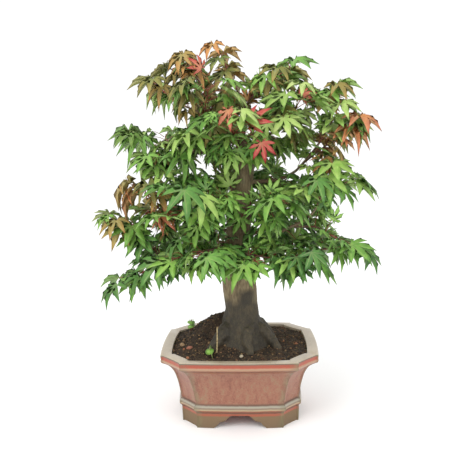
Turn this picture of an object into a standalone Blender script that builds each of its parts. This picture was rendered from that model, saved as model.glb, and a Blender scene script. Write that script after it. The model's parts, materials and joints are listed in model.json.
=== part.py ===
"""Japanese maple bonsai in a glazed pot with cut corners.

One tree of trunk, roots and branches stands in a mound of soil. Each leafy shoot is a piece of its own: a
soft stem with pairs of five-lobed leaves on long stalks. The pot is one casting on scalloped feet, with two
drain holes, each under a plastic screen held by a bent wire.
"""

import math
import random

import bmesh
import bpy
from mathutils import Matrix, Vector
from mathutils.bvhtree import BVHTree
from mathutils.noise import noise

MM = 0.001
GAP = 0.35 * MM  # between pieces that touch

# ---- Driving dimensions ----------------------------------------------------------------------------------
POT_LENGTH = 200 * MM
POT_DEPTH = 156 * MM
POT_HEIGHT = 94 * MM
POT_WALL = 8 * MM
RIM_WIDTH_SIDE = 13.5 * MM  # flat top of the rim, at the short sides
RIM_WIDTH_FRONT = 9 * MM  # the same, at the long sides
RIM_THROAT = 9 * MM  # depth of the upright inner wall below the rim
FOOT_HEIGHT = 17 * MM
FLOOR_THICKNESS = 7 * MM
FOOT_RING = 11 * MM  # thickness of the skirt that the feet are cut from
LONG_FOOT = 22 * MM  # length of a foot along a long side, at the ground
SHORT_FOOT = 16 * MM  # the same, along a short side
SIDE_BULGE = 2.5 * MM  # how far each side bows out
CORNER_STEP = 1.8 * MM  # how far a cut corner is set back behind the sides
RIM_CUT = 26 * MM  # size of the cut corner, at the rim
BODY_CUT = 20 * MM  # the same, on the body and the feet
DRAIN_RADIUS = 9 * MM
DRAIN_OFFSET = 40 * MM  # of each drain hole from the pot's middle

SCREEN_SIDE = 27 * MM
SCREEN_THICKNESS = 1.2 * MM
SCREEN_BAR = 1.5 * MM
SCREEN_CELLS = 5
WIRE_RADIUS = 0.6 * MM
WIRE_FOOT = 9 * MM  # length of a wire's bent end, under the floor

SOIL_BELOW_RIM = 3.2 * MM
MOUND_HEIGHT = 38 * MM
MOUND_REACH = 46 * MM
MOUND_MIDDLE = (-15 * MM, 15 * MM)

TRUNK_HEIGHT = 270 * MM  # from its buried base to the old cut at its top
TRUNK_BURIED = 8 * MM  # how deep its base is below the soil's edge
TRUNK_RADIUS = 21 * MM  # just above the roots
ROOT_SPREAD = 24 * MM  # how far the root flare stands out past the trunk

SHOOT_LENGTH = 42 * MM
STEM_LIFTS = (0.0, 0.35, -0.35, 0.7, -0.7, 1.1)  # rises tried for a shoot's stem until it clears the others
SHOOT_THICKNESS = 1.5 * MM
STALK_LENGTH = 20 * MM
STALK_THICKNESS = 1.2 * MM
LEAF_LENGTH = 35 * MM  # middle lobe of a full-grown leaf
LEAF_THICKNESS = 1.1 * MM  # at its centre; the edge is sharp
LEAF_CLEARANCE = 0.8 * MM
SEEDLING_LEAF = 7 * MM

# Pebbles: middle in mm (x, y), half sizes in mm, and turn in degrees.
PEBBLES = {
    "pebble_red": (-63, -27, (4.6, 3.0, 2.4), 25),
    "pebble_tan": (-74, -13, (3.6, 2.6, 2.2), -30),
    "pebble_pale": (3, -50, (3.2, 2.4, 1.8), 70),
}

# What grows beside the tree: foot in mm (x, y), height and lean in mm, thickness in mm, where its pairs of
# leaves sit along it, and how far they droop in radians.
PLANTS = {
    "dead_stalk": (-28, -41, 33, 2, 2.0, (), 0),
    "seedling_front": (-33, -47, 9, -3, 1.3, (0.9,), 0.5),
    "seedling_left": (-66, 24, 15, 1, 1.3, (0.66, 0.92), 0.2),
}
PLANT_DEPTH = 6 * MM  # how deep they stand in the soil

# ---- The pot's section: share of its height, and the inset from the rim in mm ----------------------------
POT_SECTION = (
    (0.000, 23.4), (0.180, 23.0), (0.226, 22.6), (0.250, 20.9), (0.288, 20.2), (0.325, 21.4), (0.342, 22.6),
    (0.400, 21.9), (0.525, 20.3), (0.633, 18.2), (0.728, 15.6), (0.812, 11.6), (0.856, 6.8), (0.888, 1.6),
    (0.904, 0.5), (0.920, 0.0), (0.936, 0.6), (0.985, 0.0), (1.000, 1.2),
)  # fmt: skip

# Half of the gap between two feet, seen from the front: how far it stands in from where the foot meets the
# ground, and its height as a share of FOOT_HEIGHT.
FOOT_SCALLOP = (
    (0.0, -0.06), (4.6, 0.16), (7.0, 0.34), (9.6, 0.48), (13.4, 0.54), (17.0, 0.65), (20.2, 0.86), (23.6, 1.0),
)  # fmt: skip

# Trunk: share of its height, radius as a share of TRUNK_RADIUS, and sideways drift in mm (x, y).
TRUNK_SECTION = (
    (0.000, 1.05, 3, 0), (0.035, 1.10, 3, 0), (0.075, 1.08, 3, 0), (0.115, 1.05, 3, 0), (0.165, 1.02, 3, 0),
    (0.222, 1.00, 3, 1), (0.296, 1.02, 1, 1), (0.365, 1.00, 0, 1), (0.415, 0.87, -2, 0), (0.481, 0.80, -2, -1),
    (0.611, 0.74, 2, -2), (0.759, 0.66, 6, 0), (0.870, 0.62, 9, 2), (0.945, 0.58, 9, 3), (1.000, 0.42, 9, 3),
)  # fmt: skip

# Surface roots: direction in degrees, reach and drop in mm, and radius in mm where it leaves the trunk.
ROOTS = (
    (222, 48, 28, 11.5), (284, 36, 26, 10), (338, 46, 30, 11), (28, 42, 28, 10), (98, 36, 22, 9), (158, 48, 20, 10),
)  # fmt: skip

# Branches: share of the trunk's height, radius in mm, then points in mm from the trunk's middle. Each twig
# leaves its branch at a share of the branch's length and ends at an offset in mm from there.
BRANCHES = {
    "right_low": (0.53, 3.2, [(30, -8, 0), (70, -12, -8), (104, -12, -8)], [(0.45, (26, -26, -10))]),
    "right_main": (
        0.52, 3.6, [(28, -12, 8), (60, -22, 22), (90, -28, 40), (102, -30, 62)], [(0.6, (46, 4, -12))],
    ),
    "right_mid": (0.66, 2.8, [(35, 10, 14), (76, 24, 20), (110, 34, 24)], [(0.5, (24, 18, -2))]),
    "right_upper": (
        0.81, 3.0, [(40, -6, 3), (60, -8, 10), (76, -10, 25), (94, -12, 48)], [(0.7, (38, -2, 28))],
    ),
    "right_top": (0.95, 2.6, [(25, 0, 18), (50, -2, 30), (84, -4, 50)], [(0.5, (16, -24, 14))]),
    "left_low": (0.44, 3.4, [(-45, -6, 2), (-90, -10, 6), (-104, -12, 18)], [(0.66, (-34, -8, -8))]),
    "left_mid": (
        0.57, 3.0, [(-40, -6, 12), (-75, -10, 22), (-98, -12, 26), (-124, -14, 16)], [(0.62, (-20, -16, 16))],
    ),
    "left_rise": (0.65, 2.6, [(-30, -14, 18), (-78, -22, 48)], [(0.5, (-22, -22, -6))]),
    "left_upper": (
        0.93, 2.8, [(-40, 4, 4), (-75, 6, 8), (-106, 4, 14)], [(0.5, (-30, -28, -4)), (0.6, (-28, 28, 6))],
    ),
    "left_high": (0.97, 2.4, [(-22, -6, 22), (-50, -12, 42), (-70, -16, 52)], [(0.6, (-4, -26, 14))]),
    "front_low_left": (0.52, 2.8, [(-18, -35, 4), (-32, -66, 4)], [(0.6, (-34, -14, -6))]),
    "front_low_right": (0.48, 2.8, [(12, -34, 6), (22, -60, 4)], [(0.55, (32, -14, -4))]),
    "front_mid_left": (0.72, 2.4, [(-22, -34, 11), (-42, -58, 12)], [(0.6, (-20, -10, -22))]),
    "front_mid_right": (0.68, 2.4, [(16, -34, 6), (32, -62, 10)], [(0.6, (28, -8, 8))]),
    "front_high": (0.93, 2.2, [(-4, -30, 18), (-10, -58, 28)], [(0.55, (26, -14, 12)), (0.5, (-28, -8, 4))]),
    "back_low_left": (0.50, 2.8, [(-26, 32, 4), (-54, 60, 8)], [(0.55, (-40, 6, -4))]),
    "back_low_right": (0.54, 2.8, [(24, 34, 4), (52, 58, 6)], [(0.55, (38, 8, -6))]),
    "back_mid": (0.70, 2.5, [(0, 32, 14), (6, 60, 24)], [(0.6, (-36, 12, 6)), (0.65, (34, 10, 2))]),
    "back_high": (0.88, 2.4, [(-12, 30, 14), (-26, 56, 28)], [(0.5, (44, 10, 10))]),
    "top_left": (0.985, 2.4, [(-14, 2, 28), (-34, 4, 54), (-46, 4, 68)], [(0.6, (-26, 10, 20))]),
    "top_middle": (0.99, 2.4, [(2, 6, 30), (-2, 10, 54), (-8, 12, 67)], [(0.6, (20, -14, 20))]),
    "top_right": (0.975, 2.4, [(16, 2, 26), (32, 4, 46), (40, 6, 58)], [(0.55, (24, -10, 14))]),
}  # fmt: skip

# Leaf outline, from the middle lobe round to the stalk: angle in degrees, and share of the leaf's length.
MAPLE_LEAF = ((0, 1.0), (23, 0.36), (43, 0.90), (66, 0.30), (90, 0.66), (164, 0.06))
ROUND_LEAF = ((0, 1.0), (32, 0.92), (66, 0.74), (110, 0.62), (160, 0.12))
LEAF_CUP = 0.16  # how far the tips hang below the centre, as a share of the leaf's length
PAIRS = (0.28, 0.6, 0.94)  # where the pairs of leaves sit along a shoot


# ---- Tools -----------------------------------------------------------------------------------------------
def new_mesh_object(name, bm, collection):
    mesh = bpy.data.meshes.new(name)
    bm.to_mesh(mesh)
    bm.free()
    obj = bpy.data.objects.new(name, mesh)
    collection.objects.link(obj)
    return obj


def smooth_path(points, per_span):
    """Points along the Catmull-Rom curve through the given points."""
    ends = [points[0] * 2 - points[1], *points, points[-1] * 2 - points[-2]]
    path = []
    for a, b, c, d in zip(ends, ends[1:], ends[2:], ends[3:]):
        for step in range(per_span):
            t = step / per_span
            path.append(
                0.5 * (2 * b + (c - a) * t + (2 * a - 5 * b + 4 * c - d) * t**2 + (3 * b - a - 3 * c + d) * t**3)
            )
    return [*path, points[-1].copy()]


def place_along(path, share):
    """The point at a share of a path's length, and the direction of the path there."""
    lengths = [(b - a).length for a, b in zip(path, path[1:])]
    left = share * sum(lengths)
    for a, b, length in zip(path, path[1:], lengths):
        if left <= length:
            return a.lerp(b, left / length), (b - a).normalized()
        left -= length
    return path[-1].copy(), (path[-1] - path[-2]).normalized()


def tube(name, path, radii, collection, resolution=0):
    """A closed tube along a path, as a mesh. Its radius runs through the given list."""
    curve = bpy.data.curves.new(name, "CURVE")
    curve.dimensions = "3D"
    curve.bevel_depth = 1.0
    curve.bevel_resolution = resolution
    curve.use_fill_caps = True
    spline = curve.splines.new("POLY")
    spline.points.add(len(path) - 1)
    for point, place, radius in zip(spline.points, path, radii):
        point.co = (*place, 1.0)
        point.radius = radius
    guide = bpy.data.objects.new(name, curve)
    collection.objects.link(guide)
    bpy.context.view_layer.update()
    mesh = bpy.data.meshes.new_from_object(guide.evaluated_get(bpy.context.evaluated_depsgraph_get()))
    bm = bmesh.new()
    bm.from_mesh(mesh)
    bmesh.ops.remove_doubles(bm, verts=bm.verts, dist=0.01 * MM)
    bpy.data.objects.remove(guide)
    bpy.data.curves.remove(curve)
    bpy.data.meshes.remove(mesh)
    return new_mesh_object(name, bm, collection)


def loft(name, rings, collection, tip=None):
    """A closed solid through rings of equally many points. The first ring is capped; the last one is too,
    or it runs up to a tip. Its sides are triangles, so that a grown copy clears it all round."""
    bm = bmesh.new()
    loops = [[bm.verts.new(point) for point in ring] for ring in rings]
    count = len(rings[0])
    for low, high in zip(loops, loops[1:]):
        for i in range(count):
            j = (i + 1) % count
            bm.faces.new((low[i], low[j], high[j]))
            bm.faces.new((low[i], high[j], high[i]))
    bm.faces.new(reversed(loops[0]))
    if tip is None:
        bm.faces.new(loops[-1])
    else:
        top = bm.verts.new(tip)
        for i in range(count):
            bm.faces.new((loops[-1][i], loops[-1][(i + 1) % count], top))
    bmesh.ops.recalc_face_normals(bm, faces=bm.faces)
    return new_mesh_object(name, bm, collection)


def join(name, objects, collection):
    """One object that holds the meshes of several, which are removed."""
    bm = bmesh.new()
    for obj in objects:
        bm.from_mesh(obj.data)
        mesh = obj.data
        bpy.data.objects.remove(obj)
        bpy.data.meshes.remove(mesh)
    return new_mesh_object(name, bm, collection)


def boolean(obj, other, operation):
    """Applies a Boolean to obj. The other object stays as it is."""
    modifier = obj.modifiers.new(operation, "BOOLEAN")
    modifier.object = other
    modifier.operation = operation
    modifier.solver = "EXACT"
    bpy.context.view_layer.update()
    mesh = bpy.data.meshes.new_from_object(obj.evaluated_get(bpy.context.evaluated_depsgraph_get()))
    obj.modifiers.clear()
    old = obj.data
    obj.data = mesh
    mesh.name = obj.name
    bpy.data.meshes.remove(old)


def cut(obj, *cutters):
    for cutter in cutters:
        boolean(obj, cutter, "DIFFERENCE")
        bpy.data.objects.remove(cutter)


def material(name, colour, roughness, metallic=0.0):
    made = bpy.data.materials.new(name)
    made.use_nodes = True
    shader = made.node_tree.nodes["Principled BSDF"]
    shader.inputs["Base Color"].default_value = (*colour, 1.0)
    shader.inputs["Roughness"].default_value = roughness
    shader.inputs["Metallic"].default_value = metallic
    return made


def finish(obj, finish_material):
    """Gives a finished piece its material and smooth shading with sharp arrises."""
    obj.data.materials.clear()
    obj.data.materials.append(finish_material)
    obj.data.shade_smooth()
    obj.data.set_sharp_from_angle(angle=math.radians(35))
    return obj


# ---- Pot -------------------------------------------------------------------------------------------------
def outline(half_x, half_y, corner, z, step=CORNER_STEP, bulge=SIDE_BULGE):
    """One level of the pot: four bowed sides, and four cut corners set back by a step."""
    half_x -= bulge
    half_y -= bulge
    quarter_ends = [
        (Vector((half_x - corner, -half_y)), Vector((half_x, -half_y + corner))),
        (Vector((half_x, half_y - corner)), Vector((half_x - corner, half_y))),
        (Vector((-half_x + corner, half_y)), Vector((-half_x, half_y - corner))),
        (Vector((-half_x, -half_y + corner)), Vector((-half_x + corner, -half_y))),
    ]
    ring = []
    for i, (start, end) in enumerate(quarter_ends):
        before = quarter_ends[i - 1][1]
        outward = Vector((start - before).normalized()).to_3d().cross(Vector((0, 0, 1))).to_2d()
        segments = 4 if i % 2 == 0 else 3
        for k in range(segments + 1):
            t = k / segments
            bow = bulge * 4 * t * (1 - t)
            ring.append(before.lerp(start, t) + outward * bow)
        back = -(start + end).normalized() * step
        inward = (start - end).to_3d().cross(Vector((0, 0, 1))).to_2d().normalized()
        for t, dip in ((0.06, 0), (0.5, 0.35 * step), (0.94, 0)):
            ring.append(start.lerp(end, t) + back + inward * dip)
    return [Vector((p.x, p.y, z)) for p in ring]


def pot_level(share, inset_mm, wall=0.0, z=None):
    """The pot's outline at a share of its height, moved in by a wall thickness for the cavity."""
    inset = inset_mm * MM + wall
    corner = BODY_CUT + (RIM_CUT - BODY_CUT) * max(0.0, 1 - inset_mm / 12)
    height = share * POT_HEIGHT if z is None else z
    return outline(POT_LENGTH / 2 - inset, POT_DEPTH / 2 - inset, corner - 0.4 * wall, height)


def section_inset(share):
    """The outside's inset in mm at a share of the pot's height."""
    for (low, a), (high, b) in zip(POT_SECTION, POT_SECTION[1:]):
        if share <= high:
            return a + (b - a) * (share - low) / (high - low)
    return POT_SECTION[-1][1]


def cavity_rings(gap, top_z):
    """Rings of the hollow that holds the soil, from the floor up. A gap shrinks it, for what fits in it."""
    floor_z = FOOT_HEIGHT + FLOOR_THICKNESS + gap
    rings = []
    for share in (0.0, 0.12, 0.3, 0.5, 0.66, 0.8):
        z = floor_z + share * (POT_HEIGHT - floor_z)
        inset_mm = max(section_inset(z / POT_HEIGHT), section_inset(0.342) * (1 - share) + 3 * share)
        extra = 5 * MM * (1 - share / 0.12) if share < 0.12 else 0.0
        rings.append(pot_level(0, inset_mm, POT_WALL + gap + extra, z))
    corner = RIM_CUT - 4 * MM
    half_x = POT_LENGTH / 2 - RIM_WIDTH_SIDE - gap
    half_y = POT_DEPTH / 2 - RIM_WIDTH_FRONT - gap
    for z in (POT_HEIGHT - RIM_THROAT, top_z):
        rings.append(outline(half_x, half_y, corner, z))
    return rings


def foot_gap(name, along_x, collection):
    """A cutter through the skirt, between the two feet of each side."""
    half_side = (POT_DEPTH if along_x else POT_LENGTH) / 2 - POT_SECTION[0][1] * MM - BODY_CUT
    foot = SHORT_FOOT if along_x else LONG_FOOT
    reach = half_side - foot
    squeeze = min(1.0, (reach - 3 * MM) / (FOOT_SCALLOP[-1][0] * MM))
    half = [(reach - x * MM * squeeze, share * FOOT_HEIGHT) for x, share in FOOT_SCALLOP]
    profile = [*half, *[(-x, z) for x, z in reversed(half)]]
    depth = POT_LENGTH
    ends = [[Vector((x, y, z)) for x, z in profile] for y in (-depth, depth)]
    cutter = loft(name, ends, collection)
    if along_x:
        cutter.data.transform(Matrix.Rotation(math.radians(90), 4, "Z"))
    return cutter


def cylinder(name, radius, low, high, x, y, collection, sides=20):
    bm = bmesh.new()
    bmesh.ops.create_cone(
        bm, segments=sides, radius1=radius, radius2=radius, depth=high - low, cap_ends=True,
        matrix=Matrix.Translation((x, y, (low + high) / 2)),
    )  # fmt: skip
    return new_mesh_object(name, bm, collection)


def box(name, size, centre, collection):
    bm = bmesh.new()
    bmesh.ops.create_cube(bm, size=1.0, matrix=Matrix.Translation(centre) @ Matrix.Diagonal((*size, 1)))
    return new_mesh_object(name, bm, collection)


def make_pot(collection, helpers):
    pot = loft("pot", [pot_level(share, inset) for share, inset in POT_SECTION], collection)
    cavity = loft("cavity", cavity_rings(0.0, POT_HEIGHT * 1.05), helpers)
    low_inset = POT_SECTION[0][1]
    pocket = loft(
        "pocket", [pot_level(0, low_inset, FOOT_RING, z) for z in (-0.3 * FOOT_HEIGHT, FOOT_HEIGHT)], helpers
    )
    cut(pot, cavity, pocket, foot_gap("front_gap", False, helpers), foot_gap("side_gap", True, helpers))
    for side in (-1, 1):
        low, high = FOOT_HEIGHT / 2, FOOT_HEIGHT + 2 * FLOOR_THICKNESS
        cut(pot, cylinder("drain", DRAIN_RADIUS, low, high, side * DRAIN_OFFSET, 0, helpers))
    return pot


# ---- Drain screens and their wires -----------------------------------------------------------------------
def make_screen(name, x, collection, helpers):
    """A square plastic mesh that lies on the floor over a drain hole."""
    z = FOOT_HEIGHT + FLOOR_THICKNESS + GAP + SCREEN_THICKNESS / 2
    screen = box(name, (SCREEN_SIDE, SCREEN_SIDE, SCREEN_THICKNESS), (x, 0, z), collection)
    cell = (SCREEN_SIDE - SCREEN_BAR) / SCREEN_CELLS
    middle = (SCREEN_CELLS - 1) / 2
    holes = [
        box(
            "cell",
            (cell - SCREEN_BAR, cell - SCREEN_BAR, 3 * SCREEN_THICKNESS),
            (x + (i - middle) * cell, (j - middle) * cell, z),
            helpers,
        )
        for i in range(SCREEN_CELLS)
        for j in range(SCREEN_CELLS)
    ]
    cut(screen, join("cells", holes, helpers))
    return screen


def make_wire(name, x, collection):
    """A wire staple: over the screen, down through two of its holes and the drain, and bent out below."""
    leg = (SCREEN_SIDE - SCREEN_BAR) / SCREEN_CELLS
    top = FOOT_HEIGHT + FLOOR_THICKNESS + 2 * GAP + SCREEN_THICKNESS + WIRE_RADIUS
    under = FOOT_HEIGHT - GAP - WIRE_RADIUS
    bend = 1.2 * MM
    turned_out = [(leg + WIRE_FOOT, under), (leg + bend, under), (leg, under - bend / 3)]
    half = [*turned_out, (leg, top - bend), (leg - bend, top)]
    path = [Vector((x, y, z)) for y, z in half] + [Vector((x, -y, z)) for y, z in reversed(half)]
    return tube(name, path, [WIRE_RADIUS] * len(path), collection)


# ---- Soil ------------------------------------------------------------------------------------------------
def soil_height(x, y):
    """The soil's surface: level at the rim, and heaped up against the trunk's back and left."""
    dx = (x - MOUND_MIDDLE[0]) / (MOUND_REACH * (1.15 if x < MOUND_MIDDLE[0] else 0.85))
    dy = (y - MOUND_MIDDLE[1]) / (MOUND_REACH * 0.8)
    mound = MOUND_HEIGHT * math.exp(-(dx * dx + dy * dy))
    outwards = max(abs(x) / (POT_LENGTH / 2), abs(y) / (POT_DEPTH / 2))
    inside = max(0.0, 0.86 - outwards)
    bumps = 2 * MM * noise(Vector((x, y, 0)) / (11 * MM))
    return POT_HEIGHT - SOIL_BELOW_RIM + mound * min(1.0, inside / 0.3) + bumps * inside


def make_soil(cutters, collection):
    rings = cavity_rings(GAP, POT_HEIGHT - SOIL_BELOW_RIM)
    edge = rings[-1]
    for share in (0.84, 0.68, 0.52, 0.36, 0.2):
        ring = [Vector((p.x * share, p.y * share, 0)) for p in edge]
        rings.append([Vector((p.x, p.y, soil_height(p.x, p.y))) for p in ring])
    soil = loft("soil", rings, collection, tip=(0, 0, soil_height(0, 0)))
    cut(soil, *cutters)
    return soil


# ---- What lies and grows on the soil ---------------------------------------------------------------------
def make_pebble(name, grow, collection):
    """A pebble half sunk in the soil: its middle, its half sizes and its turn come from PEBBLES."""
    x, y, half_sizes, turn = PEBBLES[name]
    bm = bmesh.new()
    bmesh.ops.create_icosphere(bm, subdivisions=2, radius=1.0)
    place = Matrix.Translation((x * MM, y * MM, soil_height(x * MM, y * MM) + 0.3 * half_sizes[2] * MM))
    swell = Matrix.Diagonal((*[half * MM + grow for half in half_sizes], 1.0))
    bm.transform(place @ Matrix.Rotation(math.radians(turn), 4, "Z") @ swell)
    return new_mesh_object(name, bm, collection)


def plant_path(name):
    """The middle line of the dead stalk or of a seedling, from below the soil up."""
    x, y, height, lean = (value * MM for value in PLANTS[name][:4])
    foot = Vector((x, y, soil_height(x, y)))
    buried = foot - Vector((0, 0, PLANT_DEPTH))
    top = foot + Vector((lean, 0, height))
    return [buried, buried.lerp(top, 0.5), top]


def plant_hole(name, helpers):
    """The room that a plant's stem takes up in the soil."""
    path = plant_path(name)
    path[0].z -= GAP
    radius = PLANTS[name][4] / 2 * MM * math.sqrt(2) + GAP
    return tube(name, path, [radius] * len(path), helpers, resolution=2)


# ---- Wood ------------------------------------------------------------------------------------------------
def trunk_base():
    return POT_HEIGHT - SOIL_BELOW_RIM - TRUNK_BURIED


def trunk_point(share):
    """The middle and the radius of the trunk at a share of its height."""
    for (low, r0, x0, y0), (high, r1, x1, y1) in zip(TRUNK_SECTION, TRUNK_SECTION[1:]):
        if share <= high:
            t = (share - low) / (high - low)
            drift = Vector((x0 + (x1 - x0) * t, y0 + (y1 - y0) * t, 0)) * MM
            middle = drift + Vector((0, 0, trunk_base() + share * TRUNK_HEIGHT))
            return middle, TRUNK_RADIUS * (r0 + (r1 - r0) * t)
    raise ValueError("a branch leaves the trunk above its top")


def flare(share, angle):
    """How far the root flare stands out at a height and a direction: a lobe over each root."""
    low = max(0.0, 1 - share / 0.24)
    lobes = max(math.cos((angle - math.radians(direction)) / 2) ** 22 for direction, *_ in ROOTS)
    buried = min(1.0, 0.35 + share / 0.05)
    return ROOT_SPREAD * low**1.9 * (0.55 + 0.45 * lobes) * buried


def make_trunk(grow, collection):
    """The trunk as a loft of uneven rings. Grow moves its surface out, for the hole that it stands in."""
    sides = 14
    rings = []
    shares = sorted({s[0] for s in TRUNK_SECTION} | {0.055, 0.095, 0.14, 0.19, 0.26, 0.55, 0.69})
    for share in shares:
        middle, radius = trunk_point(share)
        ring = []
        for k in range(sides):
            angle = 2 * math.pi * k / sides
            ridges = 0.035 * math.sin(3 * angle + 7 * share) + 0.025 * math.sin(5 * angle - 11 * share)
            reach = radius * (1 + ridges) + flare(share, angle) + grow
            ring.append(middle + Vector((math.cos(angle), math.sin(angle), 0)) * reach)
        rings.append(ring)
    if grow:
        rings[0] = [p - Vector((0, 0, grow)) for p in rings[0]]
    return loft("trunk", rings, collection)


def make_roots(grow, collection):
    """Surface roots that leave the flare and dive into the soil."""
    roots = []
    for direction, reach, drop, radius in ROOTS:
        way = Vector((math.cos(math.radians(direction)), math.sin(math.radians(direction)), 0))
        start, trunk_radius = trunk_point(0.13)
        inner = start + way * (trunk_radius * 0.45)
        shape = ((0.0, 0.0), (0.36, 0.16), (0.64, 0.5), (0.86, 0.9), (1.0, 1.22))
        path = [inner + way * (t * reach * MM) - Vector((0, 0, fall * drop * MM)) for t, fall in shape]
        radii = [radius * MM * share + grow for share in (1.0, 0.86, 0.66, 0.48, 0.34)]
        if grow:
            path[-1] += (path[-1] - path[-2]).normalized() * grow
        roots.append(tube("root", path, radii, collection, resolution=2))
    return roots


def branch_paths():
    """Each branch's and twig's middle line, radius at its start and at its end, by name."""
    paths = {}
    for name, (share, radius, offsets, twigs) in BRANCHES.items():
        start, _ = trunk_point(share)
        points = [start, *[start + Vector(offset) * MM for offset in offsets]]
        main = smooth_path(points, 2)
        paths[name] = (main, radius * MM, 1.05 * MM)
        for number, (along, offset) in enumerate(twigs, start=1):
            fork, direction = place_along(main, along)
            reach = Vector(offset) * MM
            bend = fork + reach * 0.5 + direction * reach.length * 0.16
            twig = [fork, bend, fork + reach]
            thick = radius * MM * (1 - along) + 1.05 * MM * along
            paths[f"{name}_twig_{number}"] = (twig, thick * 0.8, 1.0 * MM)
    return paths


def make_wood(paths, collection, helpers):
    wood = make_trunk(0.0, collection)
    wood.name = "trunk_and_branches"
    for root in make_roots(0.0, helpers):
        boolean(wood, root, "UNION")
        bpy.data.objects.remove(root)
    for name, (path, thick, thin) in paths.items():
        count = len(path) - 1
        radii = [thick + (thin - thick) * (i / count) ** 0.8 for i in range(count + 1)]
        limb = tube(name, path, radii, helpers)
        boolean(wood, limb, "UNION")
        bpy.data.objects.remove(limb)
    return wood


# ---- Leafy shoots ----------------------------------------------------------------------------------------
def add_leaf(bm, shape, stance, length, thickness, margin=0.0, stalk=None):
    """A leaf as a thin lens of the given shape. Given the four points that a stalk starts from, its base
    opens into that stalk."""
    centre, point, up = stance
    side = up.cross(point).normalized()
    top = bm.verts.new(centre + up * (thickness / 2))
    bottom = bm.verts.new(centre - up * (thickness / 2))
    rim = []
    for sign, half in ((1, shape), (-1, shape[:0:-1])):
        for angle, share in half:
            turn = math.radians(angle) * sign
            reach = length * share + margin
            outward = point * math.cos(turn) + side * math.sin(turn)
            rim.append(bm.verts.new(centre + outward * reach - up * length * LEAF_CUP * share**2))
    right, left = rim[len(shape) - 1], rim[len(shape)]
    for a, b in zip(rim, rim[1:] + rim[:1]):
        if a is right and stalk:
            continue
        bm.faces.new((top, a, b))
        bm.faces.new((bottom, b, a))
    if stalk:
        base = (right, top, left, bottom)
        for i in range(4):
            j = (i + 1) % 4
            bm.faces.new((base[j], base[i], stalk[i], stalk[j]))


def leaf_room(shape, stance, length):
    """The room that a leaf takes up, with the clearance that it keeps."""
    bm = bmesh.new()
    add_leaf(bm, shape, stance, length, LEAF_THICKNESS + 2 * LEAF_CLEARANCE, LEAF_CLEARANCE)
    return bm


def rod_room(start, end, radius):
    """The room that a straight stretch of stem or stalk takes up."""
    bm = bmesh.new()
    way = end - start
    place = Matrix.Translation((start + end) / 2) @ way.to_track_quat("Z", "Y").to_matrix().to_4x4()
    bmesh.ops.create_cone(
        bm, segments=4, radius1=radius, radius2=radius, depth=way.length, cap_ends=True, matrix=place
    )
    return bm


class Crowd:
    """What has already been placed, so that the next leaf can keep clear of it."""

    def __init__(self):
        self.trees = []

    def add(self, bm, owner=None):
        low = Vector([min(v.co[k] for v in bm.verts) for k in range(3)])
        high = Vector([max(v.co[k] for v in bm.verts) for k in range(3)])
        self.trees.append((low, high, BVHTree.FromBMesh(bm), owner))

    def add_object(self, obj):
        bm = bmesh.new()
        bm.from_mesh(obj.data)
        self.add(bm)
        bm.free()

    def touches(self, bm, ignoring=None):
        low = Vector([min(v.co[k] for v in bm.verts) for k in range(3)])
        high = Vector([max(v.co[k] for v in bm.verts) for k in range(3)])
        tree = BVHTree.FromBMesh(bm)
        near = [
            other
            for a, b, other, owner in self.trees
            if (owner is None or owner != ignoring) and all(low[k] <= b[k] and a[k] <= high[k] for k in range(3))
        ]
        return any(tree.overlap(other) for other in near)


def leaf_stance(fork, way, droop, twist, stalk):
    """Where a leaf's centre lies, which way its middle lobe points, and which way its top faces."""
    centre = fork + way * stalk - Vector((0, 0, 0.12 * stalk))
    flat = Vector((way.x, way.y, 0)).normalized()
    across = flat.cross(Vector((0, 0, 1)))
    tip_down = Matrix.Rotation(-droop, 3, across)
    point = tip_down @ flat
    up = Matrix.Rotation(twist, 3, point) @ (tip_down @ Vector((0, 0, 1)))
    return centre, point, up


def find_room(owner, fork, way, droop, shape, length, stalk, crowd, dice):
    """Turns a leaf about until it clears everything placed so far, and shrinks it if no turn is free."""
    radius = STALK_THICKNESS / 2 + LEAF_CLEARANCE
    for attempt in range(60):
        smaller = 0.93 ** max(0, attempt - 12)
        turn = dice.uniform(-0.12, 0.12) * attempt**0.5
        tilt = min(1.4, droop + dice.uniform(-0.16, 0.16) * attempt**0.5)
        twist = dice.uniform(-0.3, 0.3) + dice.uniform(-0.12, 0.12) * attempt**0.5
        aim = Matrix.Rotation(turn, 3, "Z") @ way
        reach = stalk * (0.4 + 0.6 * smaller) * dice.uniform(0.85, 1.15)
        stance = leaf_stance(fork, aim, tilt, twist, reach)
        near, far = fork.lerp(stance[0], 0.06), fork.lerp(stance[0], 0.3)
        blade = leaf_room(shape, stance, length * smaller)
        inner = rod_room(near, far, radius)
        outer = rod_room(far, fork.lerp(stance[0], 0.85), radius)
        free = not (crowd.touches(blade) or crowd.touches(inner, owner) or crowd.touches(outer, owner))
        if free:
            crowd.add(blade)
            crowd.add(inner, owner)
            crowd.add(outer)
        for room in (blade, inner, outer):
            room.free()
        if free:
            return stance, length * smaller
    return None


def add_ring(bm, centre, side, lift, thickness):
    """The four corners of a stem at one place along it."""
    half = thickness / 2
    corners = ((1, 1), (-1, 1), (-1, -1), (1, -1))
    return [bm.verts.new(centre + side * a * half + lift * b * half) for a, b in corners]


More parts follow.
